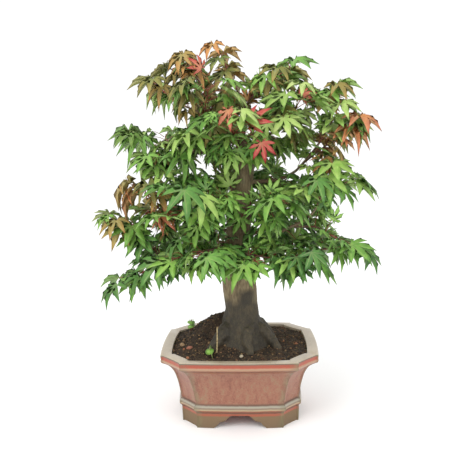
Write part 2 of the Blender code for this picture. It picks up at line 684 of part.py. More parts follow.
def grow_shoot(name, stem, thickness, pairs, make_choice, shape, crowd, collection):
    """A four-sided stem whose pairs of leaves grow out of its left and right sides. For each leaf,
    make_choice gives the droop, length and stalk length, and the dice that place it."""
    bm = bmesh.new()
    side = (stem[-1] - stem[0]).cross(Vector((0, 0, 1))).normalized()
    ring = add_ring(bm, stem[0], side, side.cross(stem[1] - stem[0]).normalized(), thickness)
    bm.faces.new(ring)
    for share in pairs:
        middle, direction = place_along(stem, share)
        lift = side.cross(direction).normalized()
        for step in (-0.5, 0.5):
            below = ring
            ring = add_ring(bm, middle + direction * step * STALK_THICKNESS, side, lift, thickness)
            for i in range(4):
                j = (i + 1) % 4
                sign = {3: 1, 1: -1}.get(i)
                found = None
                if step > 0 and sign:
                    droop, length, stalk, spread, dice = make_choice()
                    outward = direction * spread + side * sign + Vector((0, 0, 0.2))
                    way = outward.normalized()
                    found = find_room(name, middle, way, droop, shape, length, stalk, crowd, dice)
                if found is None:
                    bm.faces.new((below[j], below[i], ring[i], ring[j]))
                    continue
                stance, size = found
                upper, lower = (ring[i], ring[j]), (below[j], below[i])
                ends = (*upper, *lower) if sign > 0 else (*lower, *upper)
                add_leaf(bm, shape, stance, size, LEAF_THICKNESS, stalk=ends)
    bm.faces.new(reversed(ring))
    return new_mesh_object(name, bm, collection)


def shoot_stem(path, length, lift):
    """The soft stem that carries on from a twig's end, a little upwards."""
    direction = (path[-1] - path[-2]).normalized()
    start = path[-1] + direction * GAP
    bend = start + direction * length * 0.5 + Vector((0, 0, lift * 0.35 * length))
    end = start + direction * length * 0.9 + Vector((0, 0, lift * length))
    return [start, start + direction * SHOOT_THICKNESS, bend, end]


def make_shoots(paths, obstacles, collection):
    """The seedlings and the tree's leafy shoots, each clear of everything made before it."""
    crowd = Crowd()
    for obstacle in obstacles:
        crowd.add_object(obstacle)
    stems = {}
    for number, (name, (path, _, _)) in enumerate(paths.items()):
        low = path[-1].z < trunk_base() + 0.62 * TRUNK_HEIGHT
        length = SHOOT_LENGTH * random.Random(100 + number).uniform(0.7, 1.0)
        for lift in STEM_LIFTS:
            stem = shoot_stem(path, length, lift if low else lift + 0.25)
            radius = SHOOT_THICKNESS / 2 + LEAF_CLEARANCE
            rooms = [rod_room(a.lerp(b, 0.1), b, radius) for a, b in zip(stem[1:], stem[2:])]
            if not any(crowd.touches(room) for room in rooms):
                stems[name] = stem
                for room in (rod_room(stem[0], stem[2], radius), *rooms):
                    crowd.add(room, f"shoot_{name}")
                break
    shoots = []
    for number, name in enumerate(n for n in PLANTS if PLANTS[n][5]):
        *_, thickness, pairs, droop = PLANTS[name]
        dice = random.Random(900 + number)
        choice = (droop, SEEDLING_LEAF, 0.6 * SEEDLING_LEAF, 0.3, dice)
        path = plant_path(name)

        def same_each_time(made=choice):
            return made

        shoots.append(
            grow_shoot(name, path, thickness * MM, pairs, same_each_time, ROUND_LEAF, crowd, collection)
        )
    for number, (name, stem) in enumerate(stems.items()):
        dice = random.Random(500 + number)
        high = (stem[0].z - trunk_base()) / (1.35 * TRUNK_HEIGHT)

        def choose(dice=dice, high=high):
            droop = dice.uniform(0.25, 0.75) + 0.55 * max(0.0, 0.75 - high)
            length = LEAF_LENGTH * dice.uniform(0.78, 1.12) * (1.05 - 0.3 * max(0.0, high - 0.6))
            return droop, length, STALK_LENGTH * dice.uniform(0.75, 1.2), dice.uniform(0.35, 0.9), dice

        shoots.append(
            grow_shoot(f"shoot_{name}", stem, SHOOT_THICKNESS, PAIRS, choose, MAPLE_LEAF, crowd, collection)
        )
    return shoots


# ---- Assembly --------------------------------------------------------------------------------------------
def main():
    for obj in list(bpy.data.objects):
        bpy.data.objects.remove(obj)
    model = bpy.data.collections.new("maple_bonsai")
    helpers = bpy.data.collections.new("cutters")
    helpers.hide_render = True
    bpy.context.scene.collection.children.link(model)
    bpy.context.scene.collection.children.link(helpers)

    glaze = material("pot_glaze", (0.34, 0.13, 0.09), 0.3)
    earth = material("soil", (0.05, 0.035, 0.025), 0.95)
    bark = material("bark", (0.2, 0.15, 0.1), 0.85)
    green = material("leaf_green", (0.08, 0.24, 0.04), 0.5)
    stone = material("pebble", (0.42, 0.27, 0.18), 0.8)
    straw = material("dead_stalk", (0.5, 0.42, 0.28), 0.9)
    plastic = material("screen_plastic", (0.02, 0.02, 0.02), 0.6)
    metal = material("wire", (0.6, 0.6, 0.6), 0.35, 1.0)

    finish(make_pot(model, helpers), glaze)
    for side, x in (("left", -DRAIN_OFFSET), ("right", DRAIN_OFFSET)):
        finish(make_screen(f"drain_screen_{side}", x, model, helpers), plastic)
        finish(make_wire(f"screen_wire_{side}", x, model), metal)

    paths = branch_paths()
    wood = finish(make_wood(paths, model, helpers), bark)
    swollen = [make_trunk(GAP, helpers), *make_roots(GAP, helpers)]
    swollen += [make_pebble(name, GAP, helpers) for name in PEBBLES]
    swollen += [plant_hole(name, helpers) for name in PLANTS]
    floor_z = FOOT_HEIGHT + FLOOR_THICKNESS
    pocket_side = SCREEN_SIDE + 2 * GAP
    pocket_height = 2 * (2 * GAP + SCREEN_THICKNESS + 2 * WIRE_RADIUS + GAP)
    pockets = [
        box("screen_pocket", (pocket_side, pocket_side, pocket_height), (x, 0, floor_z), helpers)
        for x in (-DRAIN_OFFSET, DRAIN_OFFSET)
    ]
    soil = finish(make_soil([*swollen, *pockets], model), earth)
    pebbles = [finish(make_pebble(name, 0.0, model), stone) for name in PEBBLES]
    radius = PLANTS["dead_stalk"][4] / 2 * MM
    stalk = tube("dead_stalk", plant_path("dead_stalk"), [radius, radius, 0.8 * radius], model)
    finish(stalk, straw)
    for shoot in make_shoots(paths, [wood, soil, stalk, *pebbles], model):
        finish(shoot, green)


main()
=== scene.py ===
# %% [markdown]
# # A potted maple bonsai
#
# A small Japanese maple stands in a glazed pot with cut corners. This lesson dresses the plain solid model of
# it: every solid stays where it is and keeps its size, and finer surfaces and finishes are laid over it.

# %% Load the solid model
import json
import math
import random

import bmesh
import bpy
from mathutils import Matrix, Vector
from mathutils.noise import noise

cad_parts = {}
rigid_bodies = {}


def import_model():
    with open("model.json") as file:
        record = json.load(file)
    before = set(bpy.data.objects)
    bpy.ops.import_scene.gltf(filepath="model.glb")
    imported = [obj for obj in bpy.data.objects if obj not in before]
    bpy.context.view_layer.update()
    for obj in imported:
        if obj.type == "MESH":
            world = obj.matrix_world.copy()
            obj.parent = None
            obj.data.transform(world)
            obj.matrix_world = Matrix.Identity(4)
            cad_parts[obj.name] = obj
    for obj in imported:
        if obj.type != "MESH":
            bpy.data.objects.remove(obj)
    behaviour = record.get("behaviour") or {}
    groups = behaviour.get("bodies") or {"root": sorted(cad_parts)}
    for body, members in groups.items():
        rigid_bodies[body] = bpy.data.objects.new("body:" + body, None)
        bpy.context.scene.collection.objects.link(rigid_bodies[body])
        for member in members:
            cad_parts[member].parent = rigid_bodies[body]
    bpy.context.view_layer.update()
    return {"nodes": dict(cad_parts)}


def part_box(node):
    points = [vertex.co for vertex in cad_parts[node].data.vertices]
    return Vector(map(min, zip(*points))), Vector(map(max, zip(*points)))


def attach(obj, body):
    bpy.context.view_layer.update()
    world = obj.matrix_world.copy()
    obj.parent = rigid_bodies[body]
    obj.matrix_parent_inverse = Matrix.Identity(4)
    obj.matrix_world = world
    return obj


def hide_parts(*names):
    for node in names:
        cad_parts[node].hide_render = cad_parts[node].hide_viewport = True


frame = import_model()
MM = 0.001
pot_low, pot_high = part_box("pot")
POT_LENGTH = pot_high.x - pot_low.x
POT_DEPTH = pot_high.y - pot_low.y
POT_HEIGHT = pot_high.z - pot_low.z
print(f"pot {POT_LENGTH:.3f} x {POT_DEPTH:.3f} x {POT_HEIGHT:.3f} m, {len(frame['nodes'])} solids")

# %% [markdown]
# ## Camera
#
# The camera stands level with the lower leaves, a little in front of the right half of the pot, and looks
# slightly down. A longer lens than the eye's keeps the pot's sides nearly parallel.

# %% Place the camera
CAMERA_PLACE = (0.0178, -0.740, 0.364)
CAMERA_DOWN = 0.157  # radians below the horizon
CAMERA_LEFT = 0.044  # radians to the left of straight ahead
CAMERA_ROLL = -0.021
lens = bpy.data.cameras.new("camera")
lens.lens = 47
lens.sensor_width = 36
lens.clip_start = 0.01
camera = bpy.data.objects.new("camera", lens)
camera.matrix_world = (
    Matrix.Translation(CAMERA_PLACE)
    @ Matrix.Rotation(CAMERA_LEFT, 4, "Z")
    @ Matrix.Rotation(math.pi / 2 - CAMERA_DOWN, 4, "X")
    @ Matrix.Rotation(CAMERA_ROLL, 4, "Z")
)
bpy.context.scene.collection.objects.link(camera)
bpy.context.scene.camera = camera
print("camera at", CAMERA_PLACE)

# %% [markdown]
# ## Node trees as expressions
#
# Materials and Geometry Nodes are both graphs of nodes. A small class that wraps a socket lets Python's own
# signs add the Math nodes, so `1 - mask` builds a Subtract node. Everything else goes through one method.


# %% Wrap sockets and node trees
class Wire:
    """An output socket that takes part in sums. Each sum adds a Math node to its tree."""

    def __init__(self, nodes, socket):
        self.nodes = nodes
        self.socket = socket

    def maths(self, operation, other, swapped=False, **settings):
        values = (other, self) if swapped else (self, other)
        return self.nodes.add("ShaderNodeMath", {"operation": operation, **settings}, dict(enumerate(values)))

    def __add__(self, other):
        return self.maths("ADD", other)

    __radd__ = __add__

    def __sub__(self, other):
        return self.maths("SUBTRACT", other)

    def __rsub__(self, other):
        return self.maths("SUBTRACT", other, swapped=True)

    def __mul__(self, other):
        return self.maths("MULTIPLY", other)

    __rmul__ = __mul__

    def __truediv__(self, other):
        return self.maths("DIVIDE", other)

    def __gt__(self, other):
        return self.maths("GREATER_THAN", other)

    def __lt__(self, other):
        return self.maths("LESS_THAN", other)

    def size(self):
        return self.maths("ABSOLUTE", 0.0)

    def power(self, other):
        return self.maths("POWER", other)

    def clamped(self):
        return self.maths("ADD", 0.0, use_clamp=True)


class Nodes:
    """A node tree, and the one method that adds to it: a node's type, its settings, then its sockets."""

    def __init__(self, tree):
        self.tree = tree

    def feed(self, socket, value):
        if isinstance(value, Wire):
            self.tree.links.new(value.socket, socket)
        else:
            socket.default_value = value

    def add(self, kind, settings=None, sockets=None, output=0):
        node = self.tree.nodes.new(kind)
        for name, value in (settings or {}).items():
            if name == "stops":
                while len(node.color_ramp.elements) < len(value):
                    node.color_ramp.elements.new(1.0)
                for stop, (place, colour) in zip(node.color_ramp.elements, value):
                    stop.position = place
                    stop.color = colour
            else:
                setattr(node, name, value)
        for name, value in (sockets or {}).items():
            self.feed(node.inputs[name], value)
        return Wire(self, node.outputs[output])


# %% Describe finishes
def rgb(red, green, blue):
    """A colour as the eye reads it, from 0 to 255, in the linear values that a shader takes."""
    return (*[((v / 255 + 0.055) / 1.055) ** 2.4 if v > 10 else v / 3295 for v in (red, green, blue)], 1.0)


class Finish(Nodes):
    """A material with patterns in Object coordinates, so that they stay on the piece."""

    def __init__(self, name, roughness=0.6):
        self.material = bpy.data.materials.new(name)
        self.material.use_nodes = True
        super().__init__(self.material.node_tree)
        self.shader = self.tree.nodes["Principled BSDF"]
        self.shader.inputs["Roughness"].default_value = roughness
        self.place = self.add("ShaderNodeTexCoord", output=3)

    def height(self):
        return self.add("ShaderNodeSeparateXYZ", sockets={0: self.place}, output=2)

    def speckle(self, size, detail=3.0, stretch=(1, 1, 1), coarse=0.55):
        """Cloudy noise between 0 and 1 whose blobs have the given size, stretched along the axes."""
        scaled = self.add(
            "ShaderNodeMapping", {"vector_type": "POINT"}, {0: self.place, 3: [1 / (size * s) for s in stretch]}
        )
        return self.add("ShaderNodeTexNoise", None, {"Vector": scaled, "Scale": 1.0, "Detail": detail,
                                                     "Roughness": coarse})  # fmt: skip

    def ramp(self, factor, *stops, output=0):
        return self.add("ShaderNodeValToRGB", {"stops": stops}, {0: factor}, output)

    def step(self, factor, low, high):
        """0 below low, 1 above high, and smooth between."""
        settings = {"interpolation_type": "SMOOTHSTEP", "clamp": True}
        return self.add("ShaderNodeMapRange", settings, {0: factor, 1: low, 2: high, 3: 0.0, 4: 1.0})

    def mix(self, factor, a, b, blend="MIX"):
        settings = {"data_type": "RGBA", "blend_type": blend, "clamp_factor": True}
        return self.add("ShaderNodeMix", settings, {0: factor, 6: a, 7: b}, output=2)

    def attribute(self, name):
        return self.add("ShaderNodeAttribute", {"attribute_name": name}, output=2)

    def bump(self, height, depth, strength=1.0):
        normal = self.add("ShaderNodeBump", None, {"Height": height, "Distance": depth, "Strength": strength})
        self.set("Normal", normal)

    def set(self, name, value):
        self.feed(self.shader.inputs[name], value)


# %% Describe growth
class Growth(Nodes):
    """A Geometry Nodes tree with named inputs, that ends in Realize Instances and Set Material."""

    def __init__(self, name, **inputs):
        super().__init__(bpy.data.node_groups.new(name, "GeometryNodeTree"))
        face = self.tree.interface
        face.new_socket("Geometry", in_out="OUTPUT", socket_type="NodeSocketGeometry")
        face.new_socket("Geometry", in_out="INPUT", socket_type="NodeSocketGeometry")
        kinds = {**inputs, "Finish": "Material"}
        self.slots = {
            label: face.new_socket(label, in_out="INPUT", socket_type=f"NodeSocket{kind}").identifier
            for label, kind in kinds.items()
        }
        self.start = self.tree.nodes.new("NodeGroupInput")

    def input(self, label="Geometry"):
        return Wire(self, self.start.outputs[label])

    def named(self, name, kind="FLOAT"):
        return self.add("GeometryNodeInputNamedAttribute", {"data_type": kind}, {"Name": name})

    def dice(self, low, high, seed, kind="FLOAT"):
        first = {"FLOAT": 2, "FLOAT_VECTOR": 0}[kind]
        sockets = {first: low, first + 1: high, "Seed": seed}
        return self.add("FunctionNodeRandomValue", {"data_type": kind}, sockets, 1 if kind == "FLOAT" else 0)

    def instances(self, points, turn, size, pick=None):
        """A template from the Templates collection on each point, turned by Euler angles."""
        settings = {"Collection": self.input("Templates"), "Separate Children": True, "Reset Children": True}
        templates = self.add("GeometryNodeCollectionInfo", None, settings)
        rotation = self.add("FunctionNodeEulerToRotation", None, {0: turn})
        sockets = {"Points": points, "Instance": templates, "Pick Instance": True, "Rotation": rotation,
                   "Scale": size, **(pick or {})}  # fmt: skip
        return self.add("GeometryNodeInstanceOnPoints", None, sockets)

    def finish(self, geometry):
        real = self.add("GeometryNodeRealizeInstances", None, {0: geometry})
        done = self.add("GeometryNodeSetMaterial", None, {0: real, "Material": self.input("Finish")})
        end = self.tree.nodes.new("NodeGroupOutput")
        self.tree.links.new(done.socket, end.inputs[0])

    def grow(self, obj, **values):
        """Runs the tree on an object and leaves it with the plain mesh that comes out."""
        modifier = obj.modifiers.new(self.tree.name, "NODES")
        modifier.node_group = self.tree
        for label, value in values.items():
            modifier[self.slots[label]] = value
        return settle(obj)


# %% Make and settle meshes
def new_object(name, mesh):
    obj = bpy.data.objects.new(name, mesh)
    bpy.context.scene.collection.objects.link(obj)
    return obj


def from_bmesh(name, bm):
    mesh = bpy.data.meshes.new(name)
    bm.to_mesh(mesh)
    bm.free()
    return new_object(name, mesh)


def settle(obj):
    """Applies an object's modifiers."""
    bpy.context.view_layer.update()
    graph = bpy.context.evaluated_depsgraph_get()
    mesh = bpy.data.meshes.new_from_object(obj.evaluated_get(graph), preserve_all_data_layers=True, depsgraph=graph)
    obj.modifiers.clear()
    old = obj.data
    obj.data = mesh
    mesh.name = obj.name
    bpy.data.meshes.remove(old)
    return obj


def add_modifier(obj, kind, **settings):
    modifier = obj.modifiers.new(kind.lower(), kind)
    for name, value in settings.items():
        setattr(modifier, name, value)
    return modifier


def join(name, objects):
    """One object from several, with their attributes and materials."""
    with bpy.context.temp_override(active_object=objects[0], selected_editable_objects=objects):
        bpy.ops.object.join()
    objects[0].name = name
    return objects[0]


def dress(obj, material, slot, *nodes, sharp=35):
    """Gives a finished piece its material, and hides the solids it stands for."""
    if material:
        obj.data.materials.clear()
        obj.data.materials.append(material)
    obj.data.shade_smooth()
    if sharp:
        obj.data.set_sharp_from_angle(angle=math.radians(sharp))
    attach(obj, "root")
    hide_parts(*nodes)
    return obj


# %% [markdown]
# ## The pot
#
# The pot is one casting: a bowed tub with cut corners, a flat rim, a bead above and below the body, and a skirt
# cut into feet. It could be a box with bevels, but its section changes at every height, so it is lofted through
# outlines instead, and the hollow, the pocket under the floor and the gaps between the feet are cut out.

# %% Pot outline and section
RIM_WIDTH_SIDE = 13.5 * MM
RIM_WIDTH_FRONT = 9 * MM
RIM_THROAT = 9 * MM
POT_WALL = 8 * MM
FOOT_HEIGHT = 17 * MM
FLOOR_THICKNESS = 7 * MM
FOOT_RING = 11 * MM
LONG_FOOT = 22 * MM
SHORT_FOOT = 16 * MM
SIDE_BULGE = 2.5 * MM
CORNER_STEP = 1.8 * MM
RIM_CUT = 26 * MM
BODY_CUT = 20 * MM
DRAIN_RADIUS = 9 * MM
DRAIN_OFFSET = 40 * MM
# share of the height, and inset from the rim in mm
POT_SECTION = (
    (0.000, 23.4), (0.180, 23.0), (0.226, 22.6), (0.250, 20.9), (0.288, 20.2), (0.325, 21.4), (0.342, 22.6),
    (0.400, 21.9), (0.525, 20.3), (0.633, 18.2), (0.728, 15.6), (0.812, 11.6), (0.856, 6.8), (0.888, 1.6),
    (0.904, 0.5), (0.920, 0.0), (0.936, 0.6), (0.985, 0.0), (1.000, 1.2),
)  # fmt: skip
FOOT_SCALLOP = (
    (0.0, -0.06), (4.6, 0.16), (7.0, 0.34), (9.6, 0.48), (13.4, 0.54), (17.0, 0.65), (20.2, 0.86), (23.6, 1.0),
)  # fmt: skip


def smooth_path(points, per_span):
    """Points along the Catmull-Rom curve through the given points."""
    ends = [points[0] * 2 - points[1], *points, points[-1] * 2 - points[-2]]
    path = []
    for a, b, c, d in zip(ends, ends[1:], ends[2:], ends[3:]):
        for step in range(per_span):
            t = step / per_span
            cubic = (2 * a - 5 * b + 4 * c - d) * t**2 + (3 * b - a - 3 * c + d) * t**3
            path.append(0.5 * (2 * b + (c - a) * t + cubic))
    return [*path, points[-1].copy()]


def outline(half_x, half_y, corner, z):
    """One level of the pot: four bowed sides, and four cut corners set back by a step."""
    half_x -= SIDE_BULGE
    half_y -= SIDE_BULGE
    corners = [
        (Vector((half_x - corner, -half_y)), Vector((half_x, -half_y + corner))),
        (Vector((half_x, half_y - corner)), Vector((half_x - corner, half_y))),
        (Vector((-half_x + corner, half_y)), Vector((-half_x, half_y - corner))),
        (Vector((-half_x, -half_y + corner)), Vector((-half_x + corner, -half_y))),
    ]
    ring = []
    for i, (start, end) in enumerate(corners):
        before = corners[i - 1][1]
        along = (start - before).normalized()
        outward = Vector((along.y, -along.x))
        for k in range(13):
            t = k / 12
            ring.append(before.lerp(start, t) + outward * (SIDE_BULGE * 4 * t * (1 - t)))
        back = -(start + end).normalized() * CORNER_STEP
        across = (end - start).normalized()
        inward = Vector((-across.y, across.x))
        for t in (0.06, 0.2, 0.35, 0.5, 0.65, 0.8, 0.94):
            ring.append(start.lerp(end, t) + back + inward * (1.4 * CORNER_STEP * t * (1 - t)))
    return [Vector((p.x, p.y, z)) for p in ring]


def pot_level(share, inset_mm, wall=0.0, z=None):
    """The pot's outline at a share of its height, moved in by a wall thickness for the hollow."""
    inset = inset_mm * MM + wall
    corner = BODY_CUT + (RIM_CUT - BODY_CUT) * max(0.0, 1 - inset_mm / 12)
    height = share * POT_HEIGHT if z is None else z
    return outline(POT_LENGTH / 2 - inset, POT_DEPTH / 2 - inset, corner - 0.4 * wall, height)


def section_inset(share):
    for (low, a), (high, b) in zip(POT_SECTION, POT_SECTION[1:]):
        if share <= high:
            return a + (b - a) * (share - low) / (high - low)
    return POT_SECTION[-1][1]


def loft(name, rings):
    """A closed solid through rings of equally many points, capped at both ends."""
    bm = bmesh.new()
    loops = [[bm.verts.new(point) for point in ring] for ring in rings]
    count = len(rings[0])
    for low, high in zip(loops, loops[1:]):
        for i in range(count):
            j = (i + 1) % count
            bm.faces.new((low[i], low[j], high[j], high[i]))
    bm.faces.new(reversed(loops[0]))
    bm.faces.new(loops[-1])
    bmesh.ops.recalc_face_normals(bm, faces=bm.faces)
    return from_bmesh(name, bm)


# %% Build the pot
def cavity_rings():
    floor_z = FOOT_HEIGHT + FLOOR_THICKNESS
    rings = []
    for share in (0.0, 0.06, 0.12, 0.3, 0.5, 0.66, 0.8):
        z = floor_z + share * (POT_HEIGHT - floor_z)
        inset_mm = max(section_inset(z / POT_HEIGHT), section_inset(0.342) * (1 - share) + 3 * share)
        extra = 5 * MM * (1 - share / 0.12) if share < 0.12 else 0.0
        rings.append(pot_level(0, inset_mm, POT_WALL + extra, z))
    corner = RIM_CUT - 4 * MM
    for z in (POT_HEIGHT - RIM_THROAT, POT_HEIGHT * 1.05):
        rings.append(outline(POT_LENGTH / 2 - RIM_WIDTH_SIDE, POT_DEPTH / 2 - RIM_WIDTH_FRONT, corner, z))
    return rings


def foot_gap(along_x):
    """A cutter through the skirt, between the two feet of each side."""
    half_side = (POT_DEPTH if along_x else POT_LENGTH) / 2 - POT_SECTION[0][1] * MM - BODY_CUT
    reach = half_side - (SHORT_FOOT if along_x else LONG_FOOT)
    squeeze = min(1.0, (reach - 3 * MM) / (FOOT_SCALLOP[-1][0] * MM))
    points = [Vector((reach - x * MM * squeeze, share * FOOT_HEIGHT, 0)) for x, share in FOOT_SCALLOP]
    half = smooth_path(points, 3)
    profile = [*half, *[Vector((-p.x, p.y, 0)) for p in reversed(half)]]
    cutter = loft("foot_gap", [[Vector((p.x, y, p.y)) for p in profile] for y in (-POT_LENGTH, POT_LENGTH)])
    if along_x:
        cutter.data.transform(Matrix.Rotation(math.pi / 2, 4, "Z"))
    return cutter


def make_pot():
    section = smooth_path([Vector((share, inset, 0)) for share, inset in POT_SECTION], 3)
    pot = loft("glazed_pot", [pot_level(point.x, max(0.0, point.y)) for point in section])
    low_inset = POT_SECTION[0][1]
    pocket = loft("pocket", [pot_level(0, low_inset, FOOT_RING, z) for z in (-0.3 * FOOT_HEIGHT, FOOT_HEIGHT)])
    cutters = [loft("cavity", cavity_rings()), pocket, foot_gap(False), foot_gap(True)]
    for side in (-1, 1):
        bm = bmesh.new()
        place = Matrix.Translation((side * DRAIN_OFFSET, 0, FOOT_HEIGHT + FLOOR_THICKNESS / 2))
        bmesh.ops.create_cone(bm, segments=40, radius1=DRAIN_RADIUS, radius2=DRAIN_RADIUS,
                              depth=3 * FLOOR_THICKNESS, cap_ends=True, matrix=place)  # fmt: skip
        cutters.append(from_bmesh("drain", bm))
    for cutter in cutters:
        add_modifier(pot, "BOOLEAN", object=cutter, operation="DIFFERENCE", solver="EXACT")
        settle(pot)
        bpy.data.objects.remove(cutter)
    add_modifier(pot, "BEVEL", width=0.7 * MM, segments=2, angle_limit=math.radians(40), limit_method="ANGLE")
    return settle(pot)


# %% [markdown]
# The glaze is a thin layer of glass over red clay. It pools pale and grey-green where it runs off an edge, and
# breaks into fine flecks on the flat sides. A colour ramp over the height lays down the bands, with a painted
# highlight on the lower bead and a painted shadow line under the lip's bead; noise breaks them up, and the
# unglazed feet stay dull.


# %% Mix the glaze
def glaze_finish():
    paint = Finish("mottled_glaze", 0.3)
    height = paint.height() / POT_HEIGHT
    fine = paint.speckle(1.1 * MM, 4.0, coarse=0.7)
    runs = paint.speckle(4.5 * MM, 3.0, stretch=(1, 1, 3.2))
    cloud = paint.speckle(28 * MM, 2.0)
    wavy = height + (runs - 0.5) * 0.012 + (cloud - 0.5) * 0.012

    body = paint.ramp(
        fine * 0.55 + runs * 0.3 + cloud * 0.15,
        (0.36, rgb(128, 74, 58)), (0.46, rgb(172, 104, 84)), (0.53, rgb(186, 122, 98)),
        (0.60, rgb(166, 136, 108)), (0.70, rgb(196, 164, 136)),
    )  # fmt: skip
    # The grey-white stop at 0.31 is a painted highlight on the lower bead, and the dark red stop at 0.872 a painted
    # shadow line under the lip's bead; the other stops are the glaze's own bands.
    bands_and_painted_light = paint.ramp(
        wavy,
        (0.0, rgb(142, 116, 92)), (0.165, rgb(150, 120, 94)), (0.178, rgb(190, 92, 62)), (0.20, rgb(186, 98, 70)),
        (0.215, rgb(112, 70, 54)), (0.245, rgb(186, 104, 72)), (0.268, rgb(214, 190, 158)),
        (0.284, rgb(150, 118, 100)), (0.31, rgb(196, 186, 172)), (0.33, rgb(120, 84, 68)),
        (0.352, rgb(170, 110, 90)), (0.84, rgb(168, 106, 86)), (0.872, rgb(134, 66, 50)), (0.9, rgb(196, 142, 116)),
        (0.922, rgb(204, 160, 132)), (0.94, rgb(198, 84, 56)), (0.975, rgb(186, 82, 58)), (0.988, rgb(112, 110, 98)),
    )  # fmt: skip
    on_body = paint.step(wavy, 0.335, 0.36) * (1 - paint.step(wavy, 0.83, 0.86))
    colour = paint.mix(on_body, bands_and_painted_light, body)
    flecks = paint.step(fine, 0.6, 0.72) * 0.55 * paint.step(wavy, 0.17, 0.2)
    colour = paint.mix(flecks, colour, rgb(190, 178, 150))

    edge = paint.attribute("edge")
    pooled = (edge * paint.step(runs, 0.25, 0.55) * 0.75).clamped()
    colour = paint.mix(pooled, colour, paint.ramp(runs, (0.3, rgb(96, 88, 66)), (0.62, rgb(150, 138, 106))))

    normal = paint.add("ShaderNodeNewGeometry", output=1)
    upward = paint.add("ShaderNodeSeparateXYZ", sockets={0: normal}, output=2)
    top = paint.step(upward, 0.5, 0.85) * paint.step(height, 0.97, 0.985)
    inside = paint.attribute("inside")
    cream = paint.ramp(
        fine * 0.5 + cloud * 0.5,
        (0.36, rgb(168, 150, 128)), (0.5, rgb(188, 172, 150)), (0.62, rgb(198, 182, 160)), (0.72, rgb(176, 148, 128)),
    )  # fmt: skip
    dusty = paint.mix(1.0, colour, (0.66, 0.70, 0.64, 1.0), "MULTIPLY")
    paint.set("Base Color", paint.mix((top + inside).clamped(), dusty, cream))

    bare = 1 - paint.step(wavy, 0.165, 0.18)
    paint.set("Roughness", (0.26 + fine * 0.22 + bare * 0.5).clamped())
    paint.set("Coat Weight", (1 - bare) * 0.35)
    paint.bump(fine * 0.6 + runs * 0.4, 0.25 * MM)
    return paint.material


def mark_pot(pot):
    """Marks where glaze pools, along the upright edges of the cut corners, and the hollow's walls."""
    mesh = pot.data
    edge = mesh.attributes.new("edge", "FLOAT", "POINT")
    inside = mesh.attributes.new("inside", "FLOAT", "POINT")
    for i, vertex in enumerate(mesh.vertices):
        x, y, z = vertex.co
        share = z / POT_HEIGHT
        wall = section_inset(min(1.0, max(0.0, share))) * MM
        half_x = POT_LENGTH / 2 - wall - SIDE_BULGE
        half_y = POT_DEPTH / 2 - wall - SIDE_BULGE
        corner = BODY_CUT + (RIM_CUT - BODY_CUT) * max(0.0, 1 - wall / MM / 12)
        gaps = (
            math.hypot(abs(x) - (half_x - corner), abs(y) - half_y),
            math.hypot(abs(x) - half_x, abs(y) - (half_y - corner)),
        )
        edge.data[i].value = max(0.0, 1 - min(gaps) / (2.4 * MM))
        to_corner = (half_x + half_y - corner - abs(x) - abs(y)) / math.sqrt(2)
        deep = min(half_x - abs(x), half_y - abs(y), to_corner) > 5 * MM
        inside.data[i].value = float(deep and share > 0.26)


pot = make_pot()
mark_pot(pot)
dress(pot, glaze_finish(), "glazed_clay", "pot", sharp=30)
print("pot:", len(pot.data.polygons), "faces")

# %% [markdown]
# ## The soil
#
# The soil is dark, crumbly and heaped against the trunk, and full of fine rootlets. A displaced surface alone
# looks like cloth, so real grains are scattered over it: Distribute Points on Faces drops the points, and
# Instance on Points puts a small stone or crumb on each. Threads of root are scattered in the same way.

# %% Lay the soil
SOIL_BELOW_RIM = 3.2 * MM
MOUND_HEIGHT = 38 * MM
MOUND_REACH = 46 * MM
MOUND_MIDDLE = (-15 * MM, 15 * MM)


def soil_height(x, y):
    """The soil's surface: level at the rim, and heaped up against the trunk's back and left."""
    dx = (x - MOUND_MIDDLE[0]) / (MOUND_REACH * (1.15 if x < MOUND_MIDDLE[0] else 0.85))
    dy = (y - MOUND_MIDDLE[1]) / (MOUND_REACH * 0.8)
    mound = MOUND_HEIGHT * math.exp(-(dx * dx + dy * dy))
    outwards = max(abs(x) / (POT_LENGTH / 2), abs(y) / (POT_DEPTH / 2))
    inside = max(0.0, 0.86 - outwards)
    bumps = 2 * MM * noise(Vector((x, y, 0)) / (11 * MM))
    return POT_HEIGHT - SOIL_BELOW_RIM + mound * min(1.0, inside / 0.3) + bumps * inside


def make_soil():
    gap = 0.4 * MM
    edge = outline(POT_LENGTH / 2 - RIM_WIDTH_SIDE - gap, POT_DEPTH / 2 - RIM_WIDTH_FRONT - gap, RIM_CUT - 4 * MM, 0)
    fine = [edge[i].lerp(edge[(i + 1) % len(edge)], t) for i in range(len(edge)) for t in (0, 0.5)]
    rings = [[Vector((p.x, p.y, POT_HEIGHT - 8 * MM)) for p in fine]]
    for step in range(46):
        share = 1 - step / 46
        ring = []
        for p in fine:
            x, y = p.x * share, p.y * share
            clods = noise(Vector((x, y, 3)) / (6 * MM)) * 1.1 * MM + noise(Vector((x, y, 7)) / (2.4 * MM)) * 0.7 * MM
            ring.append(Vector((x, y, soil_height(x, y) + clods * min(1.0, step / 2))))
        rings.append(ring)
    return loft("soil_surface", rings)


